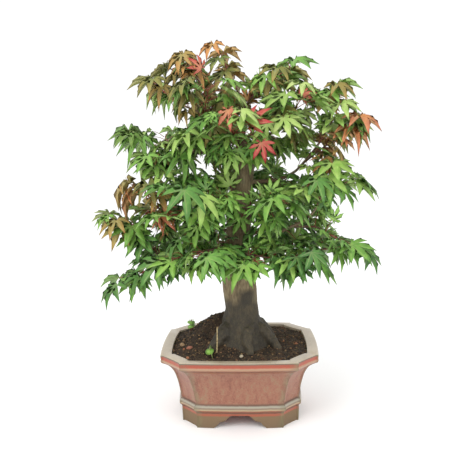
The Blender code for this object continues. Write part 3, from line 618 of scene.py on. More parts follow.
def soil_finish():
    paint = Finish("damp_soil", 0.95)
    grain = paint.attribute("grain")
    cloud = paint.speckle(9 * MM, 4.0)
    fine = paint.speckle(1.3 * MM, 3.0, coarse=0.7)
    ground = paint.ramp(
        cloud * 0.5 + fine * 0.5,
        (0.32, rgb(26, 21, 16)), (0.48, rgb(52, 40, 29)), (0.58, rgb(78, 60, 44)), (0.7, rgb(112, 88, 62)),
    )  # fmt: skip
    crumb = paint.ramp(
        grain + (fine - 0.5) * 0.1,
        (0.02, rgb(30, 24, 18)), (0.34, rgb(46, 36, 27)), (0.6, rgb(80, 60, 42)), (0.74, rgb(70, 68, 54)),
        (0.86, rgb(112, 86, 60)), (0.95, rgb(150, 122, 88)), (1.0, rgb(176, 110, 80)),
    )  # fmt: skip
    paint.set("Base Color", paint.mix(paint.step(grain, 0.001, 0.01), ground, crumb))
    paint.bump(fine, 0.6 * MM)
    return paint.material


# %% Scatter the crumbs
def pebble_mesh(name, seed, faces_level=1):
    """An uneven stone of unit size, with few faces."""
    dice = random.Random(seed)
    bm = bmesh.new()
    bmesh.ops.create_icosphere(bm, subdivisions=faces_level, radius=1.0)
    bm.transform(Matrix.Diagonal((dice.uniform(0.8, 1.2), dice.uniform(0.6, 1.0), dice.uniform(0.5, 0.8), 1)))
    for vertex in bm.verts:
        vertex.co *= 1 + 0.25 * noise(vertex.co * 1.7 + Vector((seed, 0, 0)))
    return from_bmesh(name, bm)


def root_thread(name, seed):
    """A bent root hair of unit length, three-sided, lying along X."""
    dice = random.Random(seed)
    bm = bmesh.new()
    rings = []
    wave, lift = dice.uniform(-0.35, 0.35), dice.uniform(0.05, 0.22)
    for k in range(7):
        t = k / 6
        middle = Vector((t - 0.5, wave * math.sin(math.pi * t) + 0.06 * math.sin(9 * t), lift * math.sin(math.pi * t)))
        thick = 0.022 * (1 - 0.6 * t)
        turn = [Vector((0, math.cos(a), math.sin(a))) for a in (0, 2.094, 4.189)]
        rings.append([bm.verts.new(middle + way * thick) for way in turn])
    for low, high in zip(rings, rings[1:]):
        for i in range(3):
            bm.faces.new((low[i], high[i], high[(i + 1) % 3], low[(i + 1) % 3]))
    bm.faces.new(rings[0])
    bm.faces.new(reversed(rings[-1]))
    bmesh.ops.recalc_face_normals(bm, faces=bm.faces)
    return from_bmesh(name, bm)


def as_collection(name, objects):
    """A collection of templates, kept out of the scene."""
    made = bpy.data.collections.new(name)
    for obj in objects:
        made.objects.link(obj)
        bpy.context.scene.collection.objects.unlink(obj)
    return made


def discard(collection):
    for obj in list(collection.objects):
        bpy.data.objects.remove(obj)
    bpy.data.collections.remove(collection)


def scatter_tree():
    """Drops templates on a surface: density, sizes, how flat they lie, seed and the range of grain values."""
    tree = Growth("scatter", Templates="Collection", Density="Float", Smallest="Float", Largest="Float",
                  Tilt="Float", Seed="Int", Dark="Float", Light="Float")  # fmt: skip
    seed = tree.input("Seed")
    dropped = tree.add(
        "GeometryNodeDistributePointsOnFaces", None,
        {"Mesh": tree.input(), "Density": tree.input("Density"), "Seed": seed},
    )  # fmt: skip
    tilt = tree.input("Tilt")
    lean = tree.dice(-1.0, 1.0, seed + 1) * tilt
    nod = tree.dice(-1.0, 1.0, seed + 2) * tilt
    spin = tree.dice(0.0, 6.283, seed + 3)
    turn = tree.add("ShaderNodeCombineXYZ", None, {0: lean, 1: nod, 2: spin})
    share = tree.dice(0.0, 1.0, seed + 4).power(2.2)
    smallest = tree.input("Smallest")
    size = smallest + share * (tree.input("Largest") - smallest)
    placed = tree.instances(dropped, turn, size)
    dark = tree.input("Dark")
    grain = dark + tree.dice(0.0, 1.0, seed + 5) * (tree.input("Light") - dark)
    marked = tree.add(
        "GeometryNodeStoreNamedAttribute", {"data_type": "FLOAT", "domain": "INSTANCE"},
        {"Geometry": placed, "Name": "grain", "Value": grain},
    )  # fmt: skip
    tree.finish(marked)
    return tree


scatter = scatter_tree()
earth = soil_finish()
ground = make_soil()
stones = as_collection("stones", [pebble_mesh(f"stone_{k}", 10 + k) for k in range(4)])
threads = as_collection("threads", [root_thread(f"thread_{k}", 30 + k) for k in range(5)])


def visible_ground(name, beyond=-1.0):
    """A copy of the soil's upper faces whose middle is beyond the given x, to scatter on."""
    bm = bmesh.new()
    bm.from_mesh(ground.data)
    bm.normal_update()
    hidden = [f for f in bm.faces if f.normal.z < 0.2 or f.calc_center_median().x <= beyond]
    bmesh.ops.delete(bm, geom=hidden, context="FACES")
    return from_bmesh(name, bm)


crumbs = visible_ground("soil_crumbs")
scatter.grow(crumbs, Templates=stones, Density=190000.0, Smallest=0.35 * MM, Largest=1.7 * MM, Tilt=0.8, Seed=3,
             Dark=0.02, Light=0.97, Finish=earth)  # fmt: skip
grit = visible_ground("soil_grit")
scatter.grow(grit, Templates=stones, Density=3800.0, Smallest=1.6 * MM, Largest=3.0 * MM, Tilt=0.5, Seed=11,
             Dark=0.4, Light=1.0, Finish=earth)  # fmt: skip
roots_left = visible_ground("rootlets")
scatter.grow(roots_left, Templates=threads, Density=9000.0, Smallest=5 * MM, Largest=15 * MM, Tilt=0.25, Seed=21,
             Dark=0.55, Light=0.99, Finish=earth)  # fmt: skip
roots_right = visible_ground("rootlets_right", 20 * MM)
scatter.grow(roots_right, Templates=threads, Density=26000.0, Smallest=5 * MM, Largest=17 * MM, Tilt=0.3, Seed=31,
             Dark=0.62, Light=1.0, Finish=earth)  # fmt: skip
print("soil grains:", len(crumbs.data.polygons) // 20 + len(grit.data.polygons) // 20)

# %% Join the soil
ground.data.materials.append(earth)
soil = join("soil_and_rootlets", [ground, grit, roots_left, roots_right])
dress(soil, None, "soil", "soil", sharp=0)
dress(crumbs, None, "soil", sharp=0)
print("soil:", len(soil.data.polygons), "faces, crumbs:", len(crumbs.data.polygons))

# %% [markdown]
# ## Trunk and roots
#
# The trunk of an old bonsai is short and thick, and spreads into roots that grip the soil. It is lofted through
# uneven rings, the roots are tubes that leave it low down, and a voxel remesh melts them into one skin, as real
# wood grows together. The bark's long ridges are then pushed in and out of that skin with stretched noise.

# %% Trunk tables
TRUNK_HEIGHT = 270 * MM
TRUNK_BURIED = 8 * MM
TRUNK_RADIUS = 21 * MM
ROOT_SPREAD = 24 * MM
TRUNK_FOOT = POT_HEIGHT - SOIL_BELOW_RIM - TRUNK_BURIED
# share of the height, radius as a share of TRUNK_RADIUS, sideways drift in mm
TRUNK_SECTION = (
    (0.000, 1.05, 3, 0), (0.035, 1.10, 3, 0), (0.075, 1.08, 3, 0), (0.115, 1.05, 3, 0), (0.165, 1.02, 3, 0),
    (0.222, 1.00, 3, 1), (0.296, 1.02, 1, 1), (0.365, 1.00, 0, 1), (0.415, 0.87, -2, 0), (0.481, 0.80, -2, -1),
    (0.611, 0.74, 2, -2), (0.759, 0.66, 6, 0), (0.870, 0.62, 9, 2), (0.945, 0.58, 9, 3), (1.000, 0.42, 9, 3),
)  # fmt: skip
# direction in degrees, reach and drop in mm, radius in mm at the trunk
ROOTS = (
    (222, 48, 28, 11.5), (284, 36, 26, 10), (338, 46, 30, 11), (28, 42, 28, 10), (98, 36, 22, 9), (158, 48, 20, 10),
)  # fmt: skip
# what marks the bark: x, y and z in mm, radius in mm, and how far it stands out or is sunk in mm
SCARS = {
    "old_hollow": (17, -26, 128, 6.0, -3.5),
    "hollow_lip": (17, -27, 121, 8.0, 2.5),
    "pruned_stub": (20, -12, 232, 7.0, 3.0),
    "stub_heart": (22, -14, 232, 3.6, -3.0),
    "left_knot": (-16, -14, 200, 8.0, 1.6),
}


def trunk_point(share):
    """The middle and the radius of the trunk at a share of its height."""
    for (low, r0, x0, y0), (high, r1, x1, y1) in zip(TRUNK_SECTION, TRUNK_SECTION[1:]):
        if share <= high:
            t = (share - low) / (high - low)
            drift = Vector((x0 + (x1 - x0) * t, y0 + (y1 - y0) * t, 0)) * MM
            middle = drift + Vector((0, 0, TRUNK_FOOT + share * TRUNK_HEIGHT))
            return middle, TRUNK_RADIUS * (r0 + (r1 - r0) * t)
    return trunk_point(1.0)


def flare(share, angle):
    """How far the root flare stands out at a height and a direction: a lobe over each root."""
    low = max(0.0, 1 - share / 0.24)
    lobes = max(math.cos((angle - math.radians(direction)) / 2) ** 22 for direction, *_ in ROOTS)
    return ROOT_SPREAD * low**1.9 * (0.55 + 0.45 * lobes) * min(1.0, 0.35 + share / 0.05)


# %% Grow tubes along paths
def strand_tree():
    """Gives every edge chain a round skin, as thick as its thick attribute says."""
    tree = Growth("strands", Sides="Int")
    chains = tree.add("GeometryNodeMeshToCurve", None, {0: tree.input()})
    ring = tree.add("GeometryNodeCurvePrimitiveCircle", {"mode": "RADIUS"},
                    {"Resolution": tree.input("Sides"), "Radius": 1.0})  # fmt: skip
    skin = tree.add(
        "GeometryNodeCurveToMesh", None,
        {"Curve": chains, "Profile Curve": ring, "Scale": tree.named("thick"), "Fill Caps": True},
    )  # fmt: skip
    tree.finish(skin)
    return tree


strands = strand_tree()


def chain_object(name, chains):
    """Edge chains as a mesh. Each chain is its points, its radii and one tint for all of it."""
    bm = bmesh.new()
    width = bm.verts.layers.float.new("thick")
    tint = bm.verts.layers.float.new("tint")
    for points, radii, colour in chains:
        last = None
        for point, thick in zip(points, radii):
            vertex = bm.verts.new(point)
            vertex[width] = thick
            vertex[tint] = colour
            if last:
                bm.edges.new((last, vertex))
            last = vertex
    return from_bmesh(name, bm)


# %% Build the trunk
def trunk_loft():
    rings = []
    for step in range(111):
        share = step / 110
        middle, radius = trunk_point(share)
        ring = []
        for k in range(56):
            angle = 2 * math.pi * k / 56
            ridges = 0.035 * math.sin(3 * angle + 7 * share) + 0.025 * math.sin(5 * angle - 11 * share)
            reach = radius * (1 + ridges) + flare(share, angle)
            ring.append(middle + Vector((math.cos(angle), math.sin(angle), 0)) * reach)
        rings.append(ring)
    return loft("trunk", rings)


def root_chains():
    chains = []
    for direction, reach, drop, radius in ROOTS:
        way = Vector((math.cos(math.radians(direction)), math.sin(math.radians(direction)), 0))
        start, trunk_radius = trunk_point(0.13)
        inner = start + way * (trunk_radius * 0.45)
        shape = ((0.0, 0.0), (0.36, 0.16), (0.64, 0.5), (0.86, 0.9), (1.0, 1.22))
        points = [inner + way * (t * reach * MM) - Vector((0, 0, fall * drop * MM)) for t, fall in shape]
        sizes = [Vector((radius * MM * share, 0, 0)) for share in (1.0, 0.86, 0.66, 0.48, 0.34)]
        chains.append((smooth_path(points, 6), [v.x for v in smooth_path(sizes, 6)], 0.0))
    return chains


def bark_push(point):
    """How far the bark stands out at a point: long ridges, lumps near the roots, and the scars."""
    x, y, z = point
    low = max(0.0, min(1.0, (0.165 - z) / 0.05))
    ridges = noise(Vector((x / 1.7, y / 1.7, z / 15)) / MM) * 0.34 + noise(Vector((x / 4, y / 4, z / 30)) / MM) * 0.55
    lumps = noise(point / (9 * MM)) * 1.7 + noise(point / (3.2 * MM)) * 0.9
    push = ridges * (1 - 0.4 * low) + noise(point / (22 * MM)) * 0.8 + lumps * low
    rings = noise(Vector((x / 30, y / 30, z / 2.6)) / MM) * 0.16
    for sx, sy, sz, radius, depth in SCARS.values():
        away = (point / MM - Vector((sx, sy, sz))).length / radius
        push += depth * math.exp(-(away**2))
    return (push + rings) * MM


def make_trunk():
    roots = strands.grow(chain_object("roots", root_chains()), Sides=20)
    trunk = join("trunk_and_roots", [trunk_loft(), roots])
    add_modifier(trunk, "REMESH", mode="VOXEL", voxel_size=1.15 * MM)
    add_modifier(trunk, "SMOOTH", factor=0.5, iterations=4)
    settle(trunk)
    mesh = trunk.data
    places = [v.co + v.normal * bark_push(v.co) for v in mesh.vertices]
    damp = mesh.attributes.new("damp", "FLOAT", "POINT")
    # The hollow attribute marks near-black painted shade in the sunken old hollow and the pruned stub's heart.
    hollow = mesh.attributes.new("hollow", "FLOAT", "POINT")
    for vertex, place in zip(mesh.vertices, places):
        vertex.co = place
        stain = 0.166 + 0.012 * noise(place / (14 * MM)) + 0.006 * math.sin(place.x * 160)
        damp.data[vertex.index].value = max(0.0, min(1.0, (stain - place.z) / (16 * MM)))
        dark = 0.0
        for name in ("old_hollow", "stub_heart"):
            sx, sy, sz, radius, _ = SCARS[name]
            away = (place / MM - Vector((sx, sy, sz))).length / radius
            dark = max(dark, math.exp(-(away**2)))
        hollow.data[vertex.index].value = dark
    return trunk


def bark_finish():
    paint = Finish("maple_bark", 0.85)
    streak = paint.speckle(1.5 * MM, 4.0, stretch=(1, 1, 7), coarse=0.65)
    patch = paint.speckle(16 * MM, 3.0, stretch=(1, 1, 1.6))
    fine = paint.speckle(0.9 * MM, 3.0, coarse=0.7)
    dry = paint.ramp(
        streak * 0.55 + patch * 0.45,
        (0.34, rgb(84, 70, 52)), (0.44, rgb(112, 96, 72)), (0.52, rgb(136, 120, 92)), (0.62, rgb(158, 142, 112)),
        (0.72, rgb(128, 124, 96)),
    )  # fmt: skip
    moss = paint.step(patch, 0.55, 0.7) * 0.45
    dry = paint.mix(moss, dry, rgb(96, 104, 76))
    wet = paint.ramp(
        streak * 0.4 + patch * 0.35 + fine * 0.25,
        (0.34, rgb(38, 34, 27)), (0.48, rgb(60, 54, 43)), (0.58, rgb(82, 72, 54)), (0.7, rgb(104, 84, 60)),
    )  # fmt: skip
    colour = paint.mix(paint.attribute("damp"), dry, wet)
    colour = paint.mix(paint.attribute("tint"), colour, rgb(78, 46, 38))
    # Near-black painted shade in the sunken hollow and the stub's heart.
    colour = paint.mix(paint.attribute("hollow"), colour, rgb(26, 20, 15))
    paint.set("Base Color", colour)
    paint.set("Roughness", (0.7 + streak * 0.3 - paint.attribute("damp") * 0.12).clamped())
    paint.bump(streak * 0.7 + fine * 0.3, 0.5 * MM)
    return paint.material


bark = bark_finish()
trunk = make_trunk()
print("trunk:", len(trunk.data.polygons), "faces")

# %% [markdown]
# ## Branches and twigs
#
# Each branch is a short table row: where it leaves the trunk, how thick it is there, the points it passes and
# the twigs it bears. A smooth curve through the points, with a slight wander, looks grown instead of bent. The
# same tree that made the roots gives each path its round skin.

# %% Branch tables
# share of the trunk height, radius in mm, points in mm from the trunk middle, and twigs as a share of the
# branch with an offset in mm
BRANCHES = {
    "right_low": (0.53, 3.2, [(30, -8, 0), (70, -12, -8), (104, -12, -8)], [(0.45, (26, -26, -10))]),
    "right_main": (
        0.52, 3.6, [(28, -12, 8), (60, -22, 22), (90, -28, 40), (102, -30, 62)], [(0.6, (46, 4, -12))],
    ),
    "right_mid": (0.66, 2.8, [(35, 10, 14), (76, 24, 20), (110, 34, 24)], [(0.5, (24, 18, -2))]),
    "right_upper": (
        0.81, 3.0, [(40, -6, 3), (60, -8, 10), (76, -10, 25), (94, -12, 48)], [(0.7, (38, -2, 28))],
    ),
    "right_top": (0.95, 2.6, [(25, 0, 18), (50, -2, 30), (84, -4, 50)], [(0.5, (16, -24, 14))]),
    "left_low": (0.44, 3.4, [(-45, -6, 2), (-90, -10, 6), (-104, -12, 18)], [(0.66, (-34, -8, -8))]),
    "left_mid": (
        0.57, 3.0, [(-40, -6, 12), (-75, -10, 22), (-98, -12, 26), (-124, -14, 16)], [(0.62, (-20, -16, 16))],
    ),
    "left_rise": (0.65, 2.6, [(-30, -14, 18), (-78, -22, 48)], [(0.5, (-22, -22, -6))]),
    "left_upper": (
        0.93, 2.8, [(-40, 4, 4), (-75, 6, 8), (-106, 4, 14)], [(0.5, (-30, -28, -4)), (0.6, (-28, 28, 6))],
    ),
    "left_high": (0.97, 2.4, [(-22, -6, 22), (-50, -12, 42), (-70, -16, 52)], [(0.6, (-4, -26, 14))]),
    "front_low_left": (0.52, 2.8, [(-18, -35, 4), (-32, -66, 4)], [(0.6, (-34, -14, -6))]),
    "front_low_right": (0.48, 2.8, [(12, -34, 6), (22, -60, 4)], [(0.55, (32, -14, -4))]),
    "front_mid_left": (0.72, 2.4, [(-22, -34, 11), (-42, -58, 12)], [(0.6, (-20, -10, -22))]),
    "front_mid_right": (0.68, 2.4, [(16, -34, 6), (32, -62, 10)], [(0.6, (28, -8, 8))]),
    "front_high": (0.93, 2.2, [(-4, -30, 18), (-10, -58, 28)], [(0.55, (26, -14, 12)), (0.5, (-28, -8, 4))]),
    "back_low_left": (0.50, 2.8, [(-26, 32, 4), (-54, 60, 8)], [(0.55, (-40, 6, -4))]),
    "back_low_right": (0.54, 2.8, [(24, 34, 4), (52, 58, 6)], [(0.55, (38, 8, -6))]),
    "back_mid": (0.70, 2.5, [(0, 32, 14), (6, 60, 24)], [(0.6, (-36, 12, 6)), (0.65, (34, 10, 2))]),
    "back_high": (0.88, 2.4, [(-12, 30, 14), (-26, 56, 28)], [(0.5, (44, 10, 10))]),
    "top_left": (0.985, 2.4, [(-14, 2, 28), (-34, 4, 54), (-46, 4, 68)], [(0.6, (-26, 10, 20))]),
    "top_middle": (0.99, 2.4, [(2, 6, 30), (-2, 10, 54), (-8, 12, 67)], [(0.6, (20, -14, 20))]),
    "top_right": (0.975, 2.4, [(16, 2, 26), (32, 4, 46), (40, 6, 58)], [(0.55, (24, -10, 14))]),
}  # fmt: skip


# %% Grow the branches
def place_along(path, share):
    """The point at a share of a path's length, and the direction of the path there."""
    lengths = [(b - a).length for a, b in zip(path, path[1:])]
    left = share * sum(lengths)
    for a, b, length in zip(path, path[1:], lengths):
        if left <= length:
            return a.lerp(b, left / length), (b - a).normalized()
        left -= length
    return path[-1].copy(), (path[-1] - path[-2]).normalized()


def branch_paths():
    """Each branch's and twig's middle line, and its radius at both ends, by name."""
    paths = {}
    for name, (share, radius, offsets, twigs) in BRANCHES.items():
        start, _ = trunk_point(share)
        main = smooth_path([start, *[start + Vector(offset) * MM for offset in offsets]], 6)
        paths[name] = (main, radius * MM, 1.0 * MM)
        for number, (along, offset) in enumerate(twigs, start=1):
            fork, direction = place_along(main, along)
            reach = Vector(offset) * MM
            bend = fork + reach * 0.5 + direction * reach.length * 0.16
            thick = radius * MM * (1 - along) + 1.0 * MM * along
            paths[f"{name}_twig_{number}"] = (smooth_path([fork, bend, fork + reach], 6), thick * 0.8, 0.8 * MM)
    return paths


def limb_chain(path, thick, thin, tint):
    """A branch as a chain that wanders a little between its ends and thins towards its tip."""
    count = len(path) - 1
    points, radii = [], []
    for i, point in enumerate(path):
        t = i / count
        wander = Vector([noise(point / (17 * MM) + Vector((k * 9, 0, 0))) for k in range(3)])
        points.append(point + wander * 1.6 * MM * math.sin(math.pi * t))
        radii.append((thick + (thin - thick) * t**0.8) * (1 + 0.12 * noise(point / (5 * MM))))
    return points, radii, tint


paths = branch_paths()
limbs = chain_object(
    "limbs", [limb_chain(*row, 0.75 if "twig" in name else 0.25) for name, row in paths.items()]
)  # fmt: skip
strands.grow(limbs, Sides=10)
trunk = join("trunk_and_limbs", [trunk, limbs])
dress(trunk, bark, "bark", "trunk_and_branches", sharp=0)
print("branches and twigs:", len(paths))

# %% [markdown]
# ## One leaf
#
# A Japanese maple's leaf has seven narrow lobes that spread like fingers from the end of its stalk. The blade is
# modelled once at unit length: each lobe has a midrib, a toothed edge and a slight fold, and all of it sags
# towards the tips. Two attributes, the distance from the hub and from the nearest midrib, draw the veins later.

# %% Model the blades
LOBES = ((0, 1.0), (40, 0.9), (78, 0.68), (122, 0.34))  # angle from the point in degrees, length
NOTCHES = (0.30, 0.26, 0.16)  # how far from the hub each notch between two lobes is


def leaf_layers(bm):
    """Where the veins are, by the distances from the hub and from a midrib, and which faces look down."""
    vertex, face = bm.verts.layers.float, bm.faces.layers.float
    return vertex.new("along"), vertex.new("across"), face.new("under")


def blade_mesh(name, width, cup, fold, curl):
    """A closed thin blade: point along X, upper side along Z, and its edge shared by both sheets."""
    bm = bmesh.new()
    along, across, under = leaf_layers(bm)

    def corner(x, y, off, lift=0.0):
        reach = math.hypot(x, y)
        sag = cup * reach**2 + curl * max(0.0, reach - 0.45) ** 2
        vertex = bm.verts.new((x, y, fold * off - sag + lift))
        vertex[along] = reach
        vertex[across] = 1.0 if off or lift == 0.0 else 0.0
        return vertex

    def at(angle, reach):
        return reach * math.cos(math.radians(angle)), reach * math.sin(math.radians(angle))

    lobes = [(-angle, reach) for angle, reach in LOBES[:0:-1]] + list(LOBES)
    depths = [*NOTCHES[::-1], *NOTCHES]
    notches = [corner(*at(-160, 0.05), 0.1)]
    for (a, _), (b, _), depth in zip(lobes, lobes[1:], depths):
        notches.append(corner(*at((a + b) / 2, depth), 0.6))
    notches.append(corner(*at(160, 0.05), 0.1))
    edges = []
    for angle, reach in lobes:
        way = Vector(at(angle, 1.0))
        left = Vector((-way.y, way.x))
        sides = []
        for sign in (-1, 1):
            row = []
            for share, half in ((0.46, 0.92), (0.66, 1.0), (0.72, 0.62)):
                place = way * reach * share + left * sign * width * reach * half
                row.append(corner(*place, half * 0.7))
            sides.append(row)
        edges.append((way, reach, sides, corner(*(way * reach), 0.0)))
    for lift in (0.004, -0.004):
        hub = corner(0.0, 0.0, 0.0, lift)
        faces = []
        for k, (way, reach, (right, left), tip) in enumerate(edges):
            near = corner(*(way * reach * 0.46), 0.0, lift)
            far = corner(*(way * reach * 0.69), 0.0, lift)
            for notch, row in ((notches[k], right), (notches[k + 1], left)):
                loops = [(hub, notch, row[0], near), (near, *row, far), (far, row[2], tip)]
                faces += [loop if (row is right) == (lift > 0) else loop[::-1] for loop in loops]
        for loop in faces:
            bm.faces.new(loop)[under] = 1.0 if lift < 0 else 0.0
    return from_bmesh(name, bm)


def round_blade(name):
    """The seed leaf of a weed: a plain oval with a notch at its stalk."""
    bm = bmesh.new()
    along, across, under = leaf_layers(bm)
    edge = []
    for k in range(18):
        angle = 2 * math.pi * k / 18
        reach = 0.72 + 0.24 * math.cos(angle) - 0.5 * max(0.0, -math.cos(angle)) ** 12
        vertex = bm.verts.new((reach * math.cos(angle), reach * math.sin(angle), -0.18 * reach**2))
        vertex[along], vertex[across] = reach, 1.0
        edge.append(vertex)
    for lift in (0.02, -0.02):
        hub = bm.verts.new((0, 0, lift))
        for a, b in zip(edge, edge[1:] + edge[:1]):
            bm.faces.new((hub, a, b) if lift > 0 else (hub, b, a))[under] = 1.0 if lift < 0 else 0.0
    return from_bmesh(name, bm)


blades = as_collection("blades", [
    blade_mesh("blade_0", 0.155, 0.06, 0.14, 0.05),
    blade_mesh("blade_1", 0.140, 0.18, 0.20, 0.30),
    blade_mesh("blade_2", 0.105, 0.34, 0.36, 0.60),
    blade_mesh("blade_3", 0.150, 0.02, 0.10, 0.40),
])  # fmt: skip
rounds = as_collection("rounds", [round_blade("round_0")])


# %% Instance the blades
def leafing_tree():
    """Puts a blade on every point, turned, sized and picked by the point's own attributes."""
    tree = Growth("leafing", Templates="Collection")
    pick = {"Instance Index": tree.named("pick", "INT")}
    tree.finish(tree.instances(tree.input(), tree.named("turn", "FLOAT_VECTOR"), tree.named("size"), pick))
    return tree


leafing = leafing_tree()


def leaf_points(name, leaves):
    """Leaves as points. Each is its centre, point, upper side, length, blade, tint and shade."""
    mesh = bpy.data.meshes.new(name)
    mesh.from_pydata([leaf[0] for leaf in leaves], [], [])
    kinds = (("turn", "FLOAT_VECTOR"), ("size", "FLOAT"), ("pick", "INT"), ("tint", "FLOAT"), ("shade", "FLOAT"))
    for label, kind in kinds:
        mesh.attributes.new(label, kind, "POINT")
    turn, size, pick, tint, shade = [mesh.attributes[label].data for label, _ in kinds]
    for i, (_, point, up, length, blade, colour, light) in enumerate(leaves):
        side = up.cross(point).normalized()
        stance = Matrix((point, side, point.cross(side))).transposed()
        turn[i].vector = stance.to_euler()
        size[i].value, pick[i].value, tint[i].value, shade[i].value = length, blade, colour, light
    return new_object(name, mesh)


# %% [markdown]
# ## Leaf colours
#
# Most leaves are green, from deep blue-green to lime. Each leaf's green is partly a random tone and partly
# painted light and shade: lighter high in the crown, darker low down. The youngest, at the top and at the tips,
# are still olive, orange or pink. One attribute picks the green, with its painted light and shade, and another
# how far the leaf has turned, so a single material serves every leaf.


# %% Mix the leaf colours
def leaf_finish():
    paint = Finish("maple_leaf", 0.5)
    tint, shade = paint.attribute("tint"), paint.attribute("shade")
    along, across = paint.attribute("along"), paint.attribute("across")
    cloud = paint.speckle(8 * MM, 3.0)
    # shade holds a random tone plus painted light and shade: lighter greens high in the crown, darker low down.
    green = paint.ramp(
        shade + (cloud - 0.5) * 0.5,
        (0.0, rgb(72, 118, 56)), (0.25, rgb(104, 156, 66)), (0.5, rgb(136, 184, 78)), (0.75, rgb(172, 204, 106)),
        (1.0, rgb(206, 218, 144)),
    )  # fmt: skip
    turning = paint.ramp(
        tint + (along - 0.4) * 0.16 + (cloud - 0.5) * 0.2,
        (0.15, rgb(112, 122, 56)), (0.35, rgb(170, 146, 78)), (0.55, rgb(212, 146, 84)),
        (0.75, rgb(216, 128, 100)), (0.92, rgb(190, 70, 66)), (1.0, rgb(150, 36, 36)),
    )  # fmt: skip
    colour = paint.mix(paint.step(tint, 0.06, 0.26), green, turning)
    vein = 1 - paint.step(across, 0.04, 0.22)
    colour = paint.mix(vein * 0.3, colour, rgb(186, 190, 128))
    colour = paint.mix(paint.attribute("under") * 0.35, colour, rgb(158, 172, 124))
    paint.set("Base Color", colour)
    paint.set("Roughness", (0.42 + cloud * 0.2).clamped())
    paint.bump(across * 0.6 + cloud * 0.4, 0.3 * MM)
    return paint.material


def plain_finish(name, roughness, size, *stops):
    """Two or more colours in clouds of the given size."""
    paint = Finish(name, roughness)
    cloud = paint.speckle(size, 4.0)
    paint.set("Base Color", paint.ramp(cloud, *stops))
    paint.bump(cloud, 0.25 * MM)
    return paint.material


foliage = leaf_finish()
stalks = plain_finish("leaf_stalk", 0.5, 9 * MM, (0.35, rgb(112, 44, 38)), (0.55, rgb(140, 66, 48)),
                      (0.7, rgb(122, 112, 60)))  # fmt: skip

# %% [markdown]
# ## Leafy shoots
#
# The solid model knows where every large leaf is, as a plain lens. Each lens is measured, and a proper blade takes
# its place on a thin red stalk. Smaller leaves that the solid leaves out fill the inside of the crown.

# %% Find the solid's leaves
# how far each shoot's leaves have turned; the others are green
TURNED = {
    "right_upper_twig_1": 0.50, "right_top": 0.22, "right_top_twig_1": 0.16, "left_mid": 0.20,
    "left_mid_twig_1": 0.52, "left_upper": 0.10, "left_upper_twig_1": 0.18, "left_high": 0.22,
    "left_high_twig_1": 0.20, "top_left": 0.40, "top_left_twig_1": 0.52, "top_middle": 0.45,
    "top_middle_twig_1": 0.2,
}  # fmt: skip
# leaves that catch the eye: centre in mm, point, upper side, length in mm and how far turned
MARKED = {
    "front_high": [
        ((18, -86, 372), (0.75, -0.1, 0.75), (-0.6, -1, 0.5), 30, 0.86),
        ((-6, -84, 388), (0.1, -0.3, -1), (0, -1, 0.2), 24, 0.74),
        ((30, -82, 352), (0.2, -0.2, -1), (0, -1, 0.3), 24, 0.9),
    ],
    "right_top": [((78, -24, 404), (0.9, 0, 0.3), (-0.2, -0.8, 0.6), 22, 0.8)],
    "top_left": [((-40, -20, 440), (-0.6, -0.3, 0.6), (0.2, -1, 0.4), 20, 0.84)],
}
DROOPING = ("left_high", "left_upper", "left_mid_twig_1", "top_left", "left_low_twig_1", "right_upper_twig_1")


def welded(node):
    """A solid's mesh with its loose triangles joined up."""
    solid = bpy.data.objects[node]
    bm = bmesh.new()
    bm.from_mesh(solid.data)
    bm.transform(solid.matrix_world)
    bmesh.ops.remove_doubles(bm, verts=bm.verts, dist=0.01 * MM)
    return bm


def mean(vertices):
    return sum((vertex.co for vertex in vertices), Vector()) / len(vertices)


def read_leaves(node, spokes):
    """Each leaf's centre, point, upper side, length and fork. Its two hubs are where many edges meet."""
    bm = welded(node)
    bm.verts.index_update()
    hubs = [vertex for vertex in bm.verts if len(vertex.link_edges) >= spokes]
    leaves = []
    while len(hubs) > 1:
        top = hubs.pop()
        bottom = min(hubs, key=lambda vertex: (vertex.co - top.co).length)
        if (bottom.co - top.co).length > 1.6 * MM:
            continue
        hubs.remove(bottom)
        near = [{edge.other_vert(hub) for edge in hub.link_edges} - {top, bottom} for hub in (top, bottom)]
        # a set has no fixed order, and a sum's last digit depends on it, so both are put in order
        rim, stalk = (sorted(found, key=lambda v: v.index) for found in (near[0] & near[1], near[0] ^ near[1]))
        centre = (top.co + bottom.co) / 2
        up = (top.co - bottom.co).normalized()
        if up.dot(centre - mean(rim)) < 0:
            up = -up
        tip = max(rim, key=lambda vertex: (vertex.co - centre).length).co - centre
        point = tip - up * tip.dot(up)
        fork = mean(stalk) if stalk else centre - point.normalized() * 12 * MM
        leaves.append((centre, point.normalized(), up, point.length, fork))
    bm.free()
    return leaves


def inner_leaves(path, count, dice):
    """Small leaves along a branch, where the solid has none."""
    leaves = []
    for _ in range(count):
        fork, along = place_along(path, dice.uniform(0.22, 1.0))
        side = along.cross(Vector((0, 0, 1))).normalized()
        turn = dice.uniform(0, 2 * math.pi)
        way = side * math.cos(turn) + Vector((0, 0, 0.7 * math.sin(turn))) + along * dice.uniform(0.1, 0.8)
        centre = fork + way.normalized() * dice.uniform(11, 22) * MM
        point = (way.normalized() + Vector((0, 0, dice.uniform(-0.9, 0.1)))).normalized()
        outward = Vector((centre.x, centre.y, 0)).normalized()
        up = outward * dice.uniform(0.0, 1.3) + Vector((dice.uniform(-0.3, 0.3), dice.uniform(-0.3, 0.3), 1))
        up = (up - point * up.dot(point)).normalized()
        leaves.append((centre, point, up, dice.uniform(17, 31) * MM, fork))
    return leaves


# %% Grow the shoots
# CROWN_MIDDLE and CROWN_HALF set the painted light and shade on the leaves: lighter above the middle, darker below.
CROWN_MIDDLE, CROWN_HALF = 300 * MM, 130 * MM  # the crown's height above the ground, and half its depth


